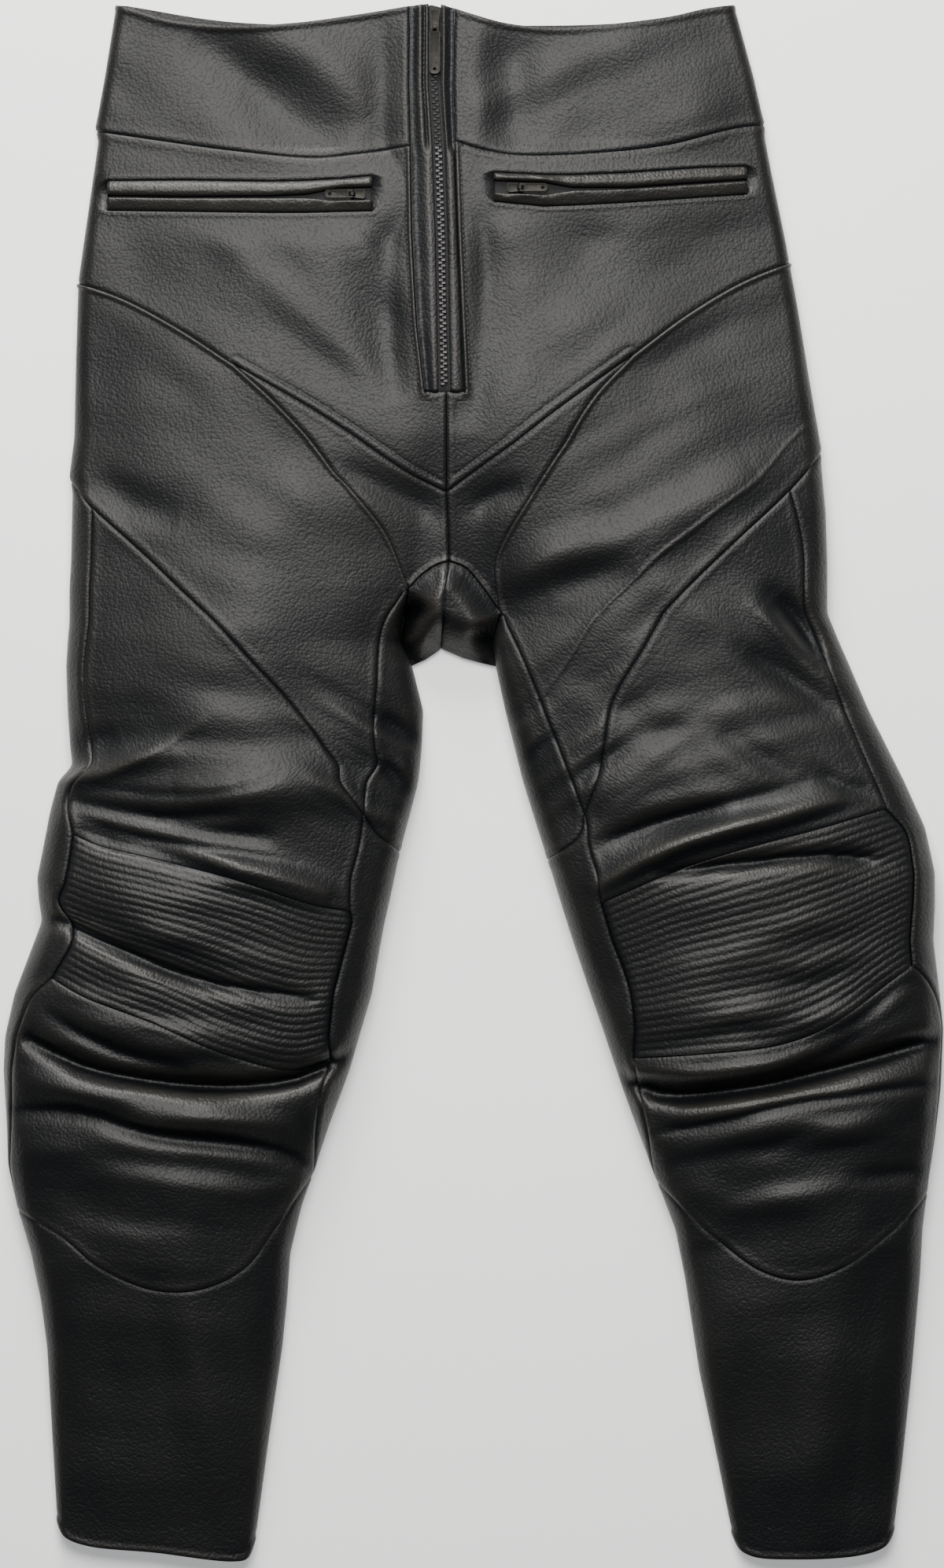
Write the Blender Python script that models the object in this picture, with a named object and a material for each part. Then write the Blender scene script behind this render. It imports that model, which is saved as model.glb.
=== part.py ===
"""Leather riding trousers, laid flat on their back panels.

Sizes in the tables are millimetres in the garment's own plan: x runs across the
front, "down" runs from the highest point of the waist towards the hems. The
model itself is in metres, +Y towards the waist, +Z up, resting on z = 0.
Right and left are the wearer's: the right leg is on -X.

Each leg is one closed ring of leather. A point of it is named by its girth, the
distance round the ring from the outer edge (0 at the edge, positive over the
front, negative underneath), and by how far down it is. Panels are cut from that
ring between seams, a wall thick, and stand a seam's gap apart.
"""
import math
from typing import NamedTuple

import bmesh
import bpy
import numpy as np
from mathutils import Matrix, Vector
from mathutils.geometry import delaunay_2d_cdt

# ---------------------------------------------------------------- driving sizes
LENGTH = 971.0            # highest point of the waist to the lowest of the hems
CENTRE_ACROSS = 0.0       # the plan's x that lies on the model's x = 0
LEATHER = 1.6             # wall thickness
BACK_BAND = 90.0          # depth of the waistband at the middle of the back
HALF_GAP = 0.15           # each panel stops this far short of its seam
CLEAR = 0.3               # between a piece and what it lies on or under
TAPE = 0.8                # zip tape thickness
SEAM_STEP = 17.0          # spacing of points along a seam
GUSSET_STEP = 6.0         # and along the gusset's
SEAT_STEP = 30.0          # and along the seat's lower seam
FLOOR_STEP = 36.0         # spacing of points underneath
MEAN_GIRTH = 200.0        # a tapering panel is meshed as if every level were this wide
FOLD_ANGLE = 0.56         # radians of a folded edge between two points
EASE = 9                  # rows of a section table are eased over this length
QUARTER = math.pi / 2

RIB_COUNT = 22            # stitched ribs across each knee
RIB_RISE = 1.3            # how far a rib stands up
RIB_COLUMNS = 5           # divisions along a rib

SLOT_HALF = 3.8           # half the opening between the fly welts
FLY_BASE = 243.0          # lower end of the fly
WELT_RISE = 1.2           # crown of a pocket welt


class Outline(NamedTuple):
    """One section across a side: where its two edges are seen from above."""
    down: float
    outer: float
    inner: float


class Height(NamedTuple):
    """One section's depth: height near the edge, added crown, edge roll width."""
    down: float
    edge: float
    crown: float
    roll: float


class Fly(NamedTuple):
    """The fly at one level: its two stitched edges and the zip between them."""
    down: float
    right: float
    zip: float
    left: float


class Pocket(NamedTuple):
    """The pocket window at one place across: its lines, and the parted welts."""
    x: float
    top: float
    middle: float
    bottom: float
    gap: float


class Fold(NamedTuple):
    """A crease: its line in plan, half width, and height (below 0 is a trough)."""
    line: tuple
    width: float
    rise: float


OUTLINES = {
    "right": (
        Outline(0, -223, -20), Outline(44, -230, -20), Outline(77, -236, -20), Outline(84, -234, -20),
        Outline(147, -243, -20), Outline(172, -246.5, -20), Outline(220, -248, -20), Outline(270, -249, -17),
        Outline(294, -252, -17), Outline(302, -250, -17), Outline(348, -251, -17), Outline(365, -252, -40),
        Outline(386, -252, -44), Outline(397, -253, -46), Outline(413, -254, -38), Outline(441, -253, -31),
        Outline(464, -251.5, -32), Outline(475, -250, -33), Outline(485, -259, -34), Outline(504, -264, -39),
        Outline(530, -269, -46), Outline(545, -272, -49), Outline(559, -271, -52), Outline(572, -269, -55),
        Outline(588, -275, -58), Outline(617, -286, -63), Outline(644, -292, -71), Outline(665, -293, -77),
        Outline(700, -291, -90), Outline(724, -290, -98), Outline(750, -284.5, -107), Outline(779, -276, -114),
        Outline(808, -270, -116), Outline(838, -266, -119), Outline(892, -263, -127), Outline(944, -260, -134),
        Outline(972, -259, -138),
    ),
    "left": (
        Outline(0, 163, -20), Outline(44, 175, -20), Outline(75, 182, -20), Outline(82, 182, -20),
        Outline(103, 186, -20), Outline(147, 195, -20), Outline(191, 203, -20), Outline(235, 210, -20),
        Outline(275, 217, -17), Outline(285, 217, -17), Outline(317, 220, -17), Outline(348, 221, -17),
        Outline(380, 221, 17), Outline(397, 228, 12.5), Outline(413, 235, 14),
        Outline(441, 247, 20), Outline(485, 269, 31), Outline(514, 282, 40), Outline(542, 288, 49),
        Outline(562, 288, 55), Outline(584, 287, 62), Outline(617, 291, 73), Outline(640, 293, 81),
        Outline(676, 291.5, 93), Outline(706, 288, 104), Outline(735, 284, 115), Outline(764, 280.5, 126),
        Outline(794, 279, 132), Outline(853, 274, 141), Outline(911, 268, 153), Outline(951, 263, 161),
        Outline(972, 261, 165),
    ),
}

HEIGHTS = (
    Height(0, 12, 6, 7), Height(77, 13, 9, 7), Height(150, 15, 13, 8), Height(250, 18, 17, 10),
    Height(350, 22, 18, 12), Height(430, 24, 19, 13), Height(500, 25, 22, 13), Height(560, 26, 25, 13),
    Height(640, 26, 25, 13), Height(700, 24, 21, 12), Height(780, 20, 17, 10), Height(860, 16, 12, 9),
    Height(930, 13, 8, 7), Height(972, 12, 6, 6),
)

# Seams of each side, in plan. A seam that ends at an edge goes on round the fold.
SEAMS = {
    "right": {
        "waist": ((-223, 0), (-212, 3), (-190, 9.5), (-148, 14), (-110, 12), (-74, 7), (-39.5, 1.5)),
        "band": ((-235.5, 79), (-197, 85), (-148, 92), (-99, 96), (-74, 94), (-39, 89)),
        "hip_curve_outer": ((-246.5, 174), (-221, 183), (-185, 202), (-148, 226)),
        "hip_curve_inner": ((-148, 226), (-123, 249), (-99, 275), (-74, 305), (-54, 331), (-44, 354), (-40, 365)),
        "v": ((-148, 226), (-99, 254), (-50, 287), (-25, 301), (-16.5, 305)),
        "gusset_top": ((-15, 348), (-22, 350), (-32, 356.5), (-40, 365)),
        "diagonal_outer": ((-250, 298), (-237, 315)),
        "diagonal": ((-237, 315), (-197, 351), (-148, 399), (-110, 440), (-84, 474), (-68, 506)),
        "side_thigh": ((-237, 315), (-239, 380), (-242, 432), (-237, 468), (-252, 495), (-249, 518)),
        "side_knee": ((-249, 518), (-254, 547), (-258, 560), (-249, 582), (-262, 607)),
        "side_calf": ((-262, 607), (-275, 620), (-286, 655), (-288, 700), (-283.5, 752)),
        "inner_thigh": ((-40, 365), (-55, 386), (-59.5, 420), (-61, 464), (-68, 506)),
        "inner_above_knee": ((-68, 506), (-71, 527), (-76, 566)),
        "inner_knee": ((-76, 566), (-82, 601), (-88, 658)),
        "inner_calf": ((-88, 658), (-95, 682), (-98, 708), (-100.5, 731)),
        "inner_end": ((-68, 506), (-57, 520), (-45.5, 529)),
        "knee_top": ((-249, 518), (-231, 525), (-197, 533), (-148, 546), (-99, 562), (-76, 566)),
        "knee_bottom": ((-262, 607), (-240, 619), (-197, 635), (-148, 656), (-112, 664), (-88, 658)),
        "cup": ((-283.5, 752), (-258, 767), (-233, 787), (-200, 801), (-170, 801), (-143, 789), (-121, 761),
                (-100.5, 731)),
        "hem": ((-260, 947), (-254, 957), (-240, 962), (-197, 966), (-150, 971.5), (-141, 970), (-136.5, 960)),
    },
    "left": {
        "waist": ((163, 0), (146, 2.5), (122, 8), (73, 14), (48, 15), (19, 12), (-1, 6.5), (-11.5, 3)),
        "band": ((182, 75), (166, 77), (122, 88), (78, 93), (29, 94.5), (5, 91), (-11.5, 86)),
        "hip_curve_outer": ((198, 161), (171, 172), (135, 193), (99, 220)),
        "hip_curve_inner": ((99, 220), (73, 248), (47, 289), (22, 329), (13.5, 349), (14.5, 366), (17, 380)),
        "v": ((99, 220), (48, 257), (4, 290), (-16.5, 305)),
        "gusset_top": ((-15, 348), (-5, 352), (4.5, 362.5), (17, 380)),
        "diagonal_outer": ((217, 280), (197, 304)),
        "diagonal": ((197, 304), (146, 352), (107, 400), (87, 434), (79, 476), (69, 506)),
        "side_thigh": ((197, 304), (205, 338), (206, 370), (220, 412), (248, 481), (257, 502)),
        "side_knee": ((257, 502), (270, 518), (274, 540), (272, 580), (273, 599)),
        "side_calf": ((273, 599), (284, 611), (291, 630), (290.5, 676), (283, 741)),
        "inner_thigh": ((17, 380), (25, 396), (44, 441), (57, 474), (69, 506)),
        "inner_above_knee": ((69, 506), (72, 525), (79, 561)),
        "inner_knee": ((79, 561), (89, 592), (97, 616), (99, 657)),
        "inner_calf": ((99, 657), (103, 677), (109, 708), (115, 735)),
        "inner_end": ((69, 506), (63, 522), (46.5, 534)),
        "knee_top": ((257, 502), (220, 513), (171, 526), (122, 542), (97, 553), (79, 561)),
        "knee_bottom": ((273, 599), (259, 609), (220, 637), (190, 648), (140, 654), (99, 657)),
        "cup": ((283, 741), (262, 764), (234, 785), (205, 795), (180, 790), (150, 769), (115, 735)),
        "hem": ((262.5, 953), (256, 963), (239, 968), (200, 970), (176, 969), (167, 965), (162.5, 956)),
    },
}
CENTRE_SEAM = {
    "centre_upper": ((-16.6, FLY_BASE), (-16.5, 272), (-16.5, 305)),
    "centre_lower": ((-16.5, 305), (-15.5, 330), (-15, 348)),
    "centre_gusset": ((-15, 348), (-18, 366), (-19, 384), (-20, 402)),
}
CROTCH = {
    "right": ((-20, 402), (-30, 409), (-38, 412.5)),
    "left": ((-20, 402), (-6, 408), (5, 411), (14, 413)),
}
SEAT_SEAM = {
    "right": ((-200, 318), (-120, 362), (-60, 388), (-20, 401.7)),
    "left": ((165, 304), (90, 352), (30, 385), (-20, 401.7)),
}
WRAPS_OUTSIDE = {"waist", "band", "hip_curve_outer", "diagonal_outer", "cup", "hem"}
WRAPS_INSIDE = {"cup", "hem", "inner_end"}

FLY = (
    Fly(0, -39.5, -24.0, -11.5), Fly(50, -40, -24.3, -12.3), Fly(88, -39, -21.8, -11.5),
    Fly(145, -38, -19.8, -9.5), Fly(200, -35, -18.8, -7), Fly(FLY_BASE, -30, -18, -5),
)
WAIST_OVER_FLY = ((-39.5, 1.5), (-26, 0), (-16, 1), (-11.5, 3))

POCKETS = {
    "right": (
        Pocket(-228, 110, 120, 129, 0.4), Pocket(-180, 110, 121, 130, 0.4), Pocket(-126, 111, 121, 131, 0.5),
        Pocket(-104, 110.5, 120.5, 131, 1.0), Pocket(-84, 109.5, 119.5, 130.5, 3.9),
        Pocket(-63, 107.5, 119, 130, 3.9),
    ),
    "left": (
        Pocket(13, 105.5, 114.8, 124, 3.9), Pocket(44, 107, 116, 127, 3.9), Pocket(62, 107, 116, 126.5, 0.8),
        Pocket(96, 105.5, 115.5, 124.5, 0.4), Pocket(143, 102, 112, 121, 0.4), Pocket(170.5, 101, 110, 119, 0.4),
    ),
}

FOLDS = {
    "right": (
        Fold(((-249, 498), (-197, 507), (-150, 505)), 7, -5),
        Fold(((-200, 509), (-172, 515), (-128, 519)), 6, -4),
        Fold(((-262, 482), (-225, 477), (-190, 466)), 8, 4),
        Fold(((-219, 520), (-160, 535), (-95, 555)), 6, 5),
        Fold(((-257, 572), (-220, 589), (-172, 608), (-102, 620)), 5, -5),
        Fold(((-262, 630), (-221, 652), (-180, 662)), 7, -5),
        Fold(((-276, 645), (-245, 661), (-172, 674), (-110, 670), (-78, 655)), 6, -9),
        Fold(((-282, 668), (-240, 679), (-172, 694), (-116, 699)), 8, 5),
        Fold(((-285, 689), (-245, 691), (-197, 704), (-123, 714), (-102, 724)), 7, -6),
        Fold(((-236, 292), (-211, 312), (-182, 319)), 12, -3),
        Fold(((-251, 455), (-238, 462), (-220, 456)), 9, -3),
        Fold(((-82, 289), (-50, 305), (-25, 318)), 9, -3),
        Fold(((-140, 40), (-110, 55), (-75, 85)), 22, -2.5),
        Fold(((-58, 445), (-33, 462)), 7, -3),
        Fold(((-55, 470), (-42, 494)), 7, -3),
        Fold(((-72, 160), (-62, 200), (-45, 250)), 14, -2.5),
    ),
    "left": (
        Fold(((81, 524), (110, 512), (150, 502)), 8, -5),
        Fold(((78, 549), (120, 526), (186, 507), (221, 497)), 7, 5),
        Fold(((118, 542), (165, 536), (219, 531), (244, 533)), 5, -5),
        Fold(((197, 661), (225, 649), (258, 619)), 8, -4),
        Fold(((95, 670), (116, 679), (170, 675), (221, 664), (289, 645)), 7, -10),
        Fold(((105, 689), (150, 694), (204, 684), (289, 674)), 8, 5),
        Fold(((108, 703), (151, 696), (204, 684), (289, 672)), 5, -3),
        Fold(((239, 731), (282, 727)), 6, -3),
        Fold(((24, 356), (78, 341), (120, 324), (175, 292)), 16, 4),
        Fold(((48, 363), (78, 356), (102, 351)), 12, -3),
        Fold(((188, 370), (202, 385), (215, 408)), 9, -6),
        Fold(((176, 378), (198, 398), (220, 422)), 8, 4),
        Fold(((168, 404), (195, 420), (221, 439)), 8, -4),
        Fold(((151, 454), (175, 468), (200, 483)), 9, -3),
        Fold(((0, 315), (16, 306), (31, 302)), 8, -3),
        Fold(((8, 140), (14, 200), (0, 270)), 14, -2.5),
    ),
}

BLACK_LEATHER = {"Base Color": (0.022, 0.022, 0.024, 1), "Roughness": 0.42, "Metallic": 0.0}
ZIP_TAPE = {"Base Color": (0.01, 0.01, 0.011, 1), "Roughness": 0.85, "Metallic": 0.0}
ZIP_METAL = {"Base Color": (0.28, 0.28, 0.29, 1), "Roughness": 0.35, "Metallic": 1.0}


# ---------------------------------------------------------------- section tables
LEVELS = np.arange(-20.0, LENGTH + 20.0, 1.0)


def eased(rows, column, ease=EASE):
    """A table's column at every millimetre down, its corners eased."""
    values = np.interp(LEVELS, [row.down for row in rows], [getattr(row, column) for row in rows])
    window = np.hanning(ease + 2)[1:-1]
    padded = np.pad(values, ease // 2, mode="edge")
    return np.convolve(padded, window / window.sum(), mode="valid")


def smoothstep(low, high, value):
    t = np.clip((value - low) / (high - low), 0.0, 1.0)
    return t * t * (3.0 - 2.0 * t)


def line_distance(line, x, down):
    """Distance from points to a line of plan points, and how far along it, 0 to 1."""
    line = np.asarray(line, float)
    lengths = np.linalg.norm(np.diff(line, axis=0), axis=1)
    starts = np.concatenate([[0.0], np.cumsum(lengths)])
    best = np.full(np.shape(x), 1e9)
    along = np.zeros(np.shape(x))
    for (a, b), length, start in zip(zip(line[:-1], line[1:]), lengths, starts):
        t = np.clip(((x - a[0]) * (b[0] - a[0]) + (down - a[1]) * (b[1] - a[1])) / length ** 2, 0, 1)
        away = np.hypot(x - a[0] - t * (b[0] - a[0]), down - a[1] - t * (b[1] - a[1]))
        nearer = away < best
        best = np.where(nearer, away, best)
        along = np.where(nearer, (start + t * length) / starts[-1], along)
    return best, along


EDGE = eased(HEIGHTS, "edge")
CROWN = eased(HEIGHTS, "crown")
ROLL = eased(HEIGHTS, "roll")
CENTRE_ROWS = sum((CENTRE_SEAM[name] for name in CENTRE_SEAM), ((-20, 0),))
CENTRE_X = np.interp(LEVELS, [down for _, down in CENTRE_ROWS], [x for x, _ in CENTRE_ROWS])


def at(values, down):
    return np.interp(down, LEVELS, values)


class Side:
    """One side of the trousers: hip and leg, as a ring of leather."""

    LEGS_PART = 225.0         # the hips' one crown starts to part into two here
    LEGS_APART = 405.0        # and has parted here
    INNER_ROLL_GROWS = 60.0   # length over which the inner fold widens below the crotch

    def __init__(self, name):
        self.name = name
        self.sign = 1.0 if name == "right" else -1.0     # +1: girth grows towards +x
        self.outer = eased(OUTLINES[name], "outer")
        self.inner = eased(OUTLINES[name], "inner")
        self.crotch = SEAMS[name]["gusset_top"][-1][1]   # the inner fold starts here
        start, grown = self.crotch, self.crotch + self.INNER_ROLL_GROWS
        self.inner_roll = np.where(LEVELS <= start, 0.0, 6.0 + (ROLL - 6.0) * smoothstep(start, grown, LEVELS))
        self.inner_depth = smoothstep(self.crotch, self.crotch + 22.0, LEVELS)
        crotch_end = CROTCH[name][-1][1]                 # above here the fold lies on the back panel
        self.shelf = (LEATHER + 2 * CLEAR) * (1 - smoothstep(crotch_end + 10, crotch_end + 26, LEVELS))
        self.edge_mean = (ROLL + EDGE / 2) / 2           # mean radius of the outer fold
        self.inner_mean = np.where(self.inner_roll > 0, (self.inner_roll + EDGE / 2) / 2, 0.0)
        width = np.abs(self.inner - self.outer)
        self.girth = width - ROLL - self.inner_roll + QUARTER * (self.edge_mean + self.inner_mean)
        hip_inner = np.interp(LEVELS, [200.0, self.crotch], [-17.0, self.inner_at(self.crotch)])
        self.leg_inner = np.where(LEVELS < self.crotch, hip_inner, self.inner)

    def inner_at(self, down):
        return float(at(self.inner, down))

    def top(self, x, down, creased=True):
        """Height of the front over the floor, away from the folded edges."""
        outer = at(self.outer, down)
        hip = np.clip((x - outer) / (at(CENTRE_X, down) - outer), 0, 1)
        leg = np.clip((x - outer) / (at(self.leg_inner, down) - outer), 0, 1)
        parted = smoothstep(self.LEGS_PART, self.LEGS_APART, down)
        hip_crown = 1 - (1 - hip) ** 2.2
        leg_crown = np.clip(4 * leg * (1 - leg), 0, 1) ** 0.8
        z = at(EDGE, down) + at(CROWN, down) * ((1 - parted) * hip_crown + parted * leg_crown)
        for fold in FOLDS[self.name] if creased else ():
            away, along = line_distance(fold.line, x, down)
            fade = np.sin(np.pi * np.clip(along * 0.9 + 0.05, 0, 1)) ** 0.5
            z = z + fold.rise * fade * np.exp(-(away / fold.width) ** 2)
        return z

    def girth_at(self, x, down):
        """The girth of a point of the front seen at x."""
        roll, mean = at(ROLL, down), at(self.edge_mean, down)
        inner_roll, inner_mean = at(self.inner_roll, down), at(self.inner_mean, down)
        off = self.sign * (x - at(self.outer, down))
        on_fold = mean * np.arccos(np.clip(1 - off / roll, -1, 1))
        girth = np.where(off < roll, on_fold, QUARTER * mean + off - roll)
        inside = self.sign * (at(self.inner, down) - x)
        safe = np.maximum(inner_roll, 1e-6)
        on_inner = at(self.girth, down) - inner_mean * np.arccos(np.clip(1 - inside / safe, -1, 1))
        return np.where((inner_roll > 0) & (inside < inner_roll), on_inner, girth)

    def floor_girth(self, x, down):
        """The girth of a point underneath at x."""
        off = self.sign * (x - at(self.outer, down))
        return -(QUARTER * at(self.edge_mean, down) + off - at(ROLL, down))

    def under_outer(self, down):
        """Girth where the outer fold comes down to the floor."""
        return -QUARTER * at(self.edge_mean, down)

    def under_inner(self, down):
        """Girth where the inner fold comes down to the floor."""
        return at(self.girth, down) + QUARTER * at(self.inner_mean, down)

    def point(self, girth, down, creased=True):
        """Points of the leather's outer face, millimetres in plan and height."""
        roll, mean = at(ROLL, down), at(self.edge_mean, down)
        angle = np.clip(girth / mean, -QUARTER, QUARTER)
        off = roll * (1 - np.cos(angle)) + np.abs(girth - angle * mean)
        lift = (1 + np.sin(angle)) / 2
        x = at(self.outer, down) + self.sign * off
        inner_roll, inner_mean = at(self.inner_roll, down), np.maximum(at(self.inner_mean, down), 1e-6)
        left_over = at(self.girth, down) - girth
        inner_angle = np.clip(left_over / inner_mean, -QUARTER, QUARTER)
        inner_off = inner_roll * (1 - np.cos(inner_angle)) + np.abs(left_over - inner_angle * inner_mean)
        on_inner = (inner_roll > 0) & (left_over < QUARTER * inner_mean)
        x = np.where(on_inner, at(self.inner, down) - self.sign * inner_off, x)
        inner_lift = 1 - at(self.inner_depth, down) * (1 - np.sin(inner_angle)) / 2
        shelf = np.where(on_inner, at(self.shelf, down), 0.0)
        z = shelf + (self.top(x, down, creased) - shelf) * np.where(on_inner, inner_lift, lift)
        return np.stack([x, down, z], axis=-1)

    def taper(self, down):
        """What every girth of a level is divided by, so that both folded edges are straight."""
        return at(self.girth, down) / MEAN_GIRTH

    def stride(self, girth, down):
        """Longest step between points here: shorter round a fold."""
        mean, inner_mean = at(self.edge_mean, down), at(self.inner_mean, down)
        if abs(girth) < QUARTER * mean * 1.02:
            return FOLD_ANGLE * mean
        if inner_mean > 0 and abs(at(self.girth, down) - girth) < QUARTER * inner_mean * 1.02:
            return FOLD_ANGLE * inner_mean
        return SEAM_STEP

    def columns(self, down, spacing):
        """Girths of the points across one level, from underneath to the inner fold."""
        mean, inner_mean = at(self.edge_mean, down), at(self.inner_mean, down)
        whole = float(at(self.girth, down))
        steps = np.arange(-QUARTER, QUARTER + 0.01, QUARTER / 3)
        under = np.arange(-QUARTER * mean - FLOOR_STEP, -whole - 60, -FLOOR_STEP)
        front = np.arange(QUARTER * mean + spacing, whole - QUARTER * inner_mean - spacing * 0.5, spacing)
        inner = whole - steps * inner_mean if inner_mean > 0 else np.arange(whole, whole + 60, spacing)
        return np.concatenate([under, steps * mean, front, inner])


SIDES = {name: Side(name) for name in ("right", "left")}


class Plan:
    """The front seen straight from above, for what lies near the centre."""
    sign = 1.0

    def point(self, x, down, creased=True):
        z = np.where(x < at(CENTRE_X, down), SIDES["right"].top(x, down, creased),
                     SIDES["left"].top(x, down, creased))
        return np.stack([x, down, z], axis=-1)

    def stride(self, x, down):
        return SEAM_STEP

    def columns(self, down, spacing):
        return np.arange(-80.0, 80.0, spacing)


class GussetForm(Plan):
    """The gusset: it leaves the front at its top seam and dips to the floor."""
    LOW = LEATHER + CLEAR + LEATHER + 0.3     # over the back panel under it
    FLANK = 9.0               # width of the slope down into the hollow beside a thigh
    TOE = 12.0                # length of the slope down to the crotch edge
    PUFF = 3.0                # it stands up between its seams
    DEEP_AFTER = 15.0         # the hollow reaches its depth this far below the top seam

    def __init__(self, name):
        self.side = SIDES[name]

    def point(self, x, down, creased=True):
        front = super().point(x, down, creased)
        beside = self.side.sign * (x - at(self.side.inner, down))
        deep = smoothstep(self.side.crotch, self.side.crotch + self.DEEP_AFTER, down)
        flank = 1 - deep * (1 - np.sin(QUARTER * np.clip(beside / self.FLANK, 0, 1)))
        toe_away, _ = line_distance(CROTCH[self.side.name], x, down)
        toe = np.sin(QUARTER * np.clip(toe_away / self.TOE, 0, 1))
        top_away, _ = line_distance(SEAMS[self.side.name]["gusset_top"], x, down)
        puff = self.PUFF * smoothstep(0, 12, top_away)
        z = self.LOW + (front[..., 2] + puff - self.LOW) * flank * toe
        return np.stack([x, down, z], axis=-1)

    def stride(self, x, down):
        return GUSSET_STEP

    def columns(self, down, spacing):
        return np.arange(-60.0, 40.0, spacing)


# ---------------------------------------------------------------- seams
def smooth_curve(points, step=1.0):
    """A curve through the points, as a fine line (centripetal Catmull-Rom)."""
    points = np.asarray(points, float)
    if len(points) == 2:
        count = max(2, int(np.linalg.norm(points[1] - points[0]) / step) + 1)
        return points[0] + (points[1] - points[0]) * np.linspace(0, 1, count)[:, None]
    ends = np.vstack([2 * points[0] - points[1], points, 2 * points[-1] - points[-2]])
    fine = []
    for p0, p1, p2, p3 in zip(ends[:-3], ends[1:-2], ends[2:-1], ends[3:]):
        k0, k1, k2 = (max(np.linalg.norm(b - a), 1e-6) ** 0.5 for a, b in ((p0, p1), (p1, p2), (p2, p3)))
        m1 = k1 * ((p1 - p0) / k0 - (p2 - p0) / (k0 + k1) + (p2 - p1) / k1)
        m2 = k1 * ((p2 - p1) / k1 - (p3 - p1) / (k1 + k2) + (p3 - p2) / k2)
        t = np.linspace(0, 1, max(3, int(np.linalg.norm(p2 - p1) / step) + 1))[:-1, None]
        fine.append((2 * t ** 3 - 3 * t ** 2 + 1) * p1 + (t ** 3 - 2 * t ** 2 + t) * m1
                    + (3 * t ** 2 - 2 * t ** 3) * p2 + (t ** 3 - t ** 2) * m2)
    return np.vstack(fine + [points[-1:]])


def walk(line, stride):
    """Points along a fine line, never further apart than the stride allows there."""
    lengths = np.linalg.norm(np.diff(line, axis=0), axis=1)
    weights = np.array([length / stride(*(a + b) / 2) for length, (a, b) in zip(lengths, zip(line, line[1:]))])
    total = np.concatenate([[0.0], np.cumsum(weights)])
    stops = np.linspace(0, total[-1], max(2, math.ceil(total[-1]) + 1))
    return np.stack([np.interp(stops, total, line[:, i]) for i in range(2)], axis=1)


def evenly(line, count):
    """The fine line as so many equal steps."""
    total = np.concatenate([[0.0], np.cumsum(np.linalg.norm(np.diff(line, axis=0), axis=1))])
    stops = np.linspace(0, total[-1], count + 1)
    return np.stack([np.interp(stops, total, line[:, i]) for i in range(2)], axis=1)


def on_ring(side, plan_points):
    """Plan points of the front as (girth, down)."""
    plan_points = np.asarray(plan_points, float)
    return np.stack([side.girth_at(plan_points[:, 0], plan_points[:, 1]), plan_points[:, 1]], axis=1)


def fly_edge(side_name, low, high):
    """The stitched edge of the fly between two levels, in plan."""
    downs = np.linspace(low, high, max(2, math.ceil((high - low) / SEAM_STEP) + 1))
    return [(float(np.interp(d, [row.down for row in FLY], [getattr(row, side_name) for row in FLY])), d)
            for d in downs]


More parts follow.
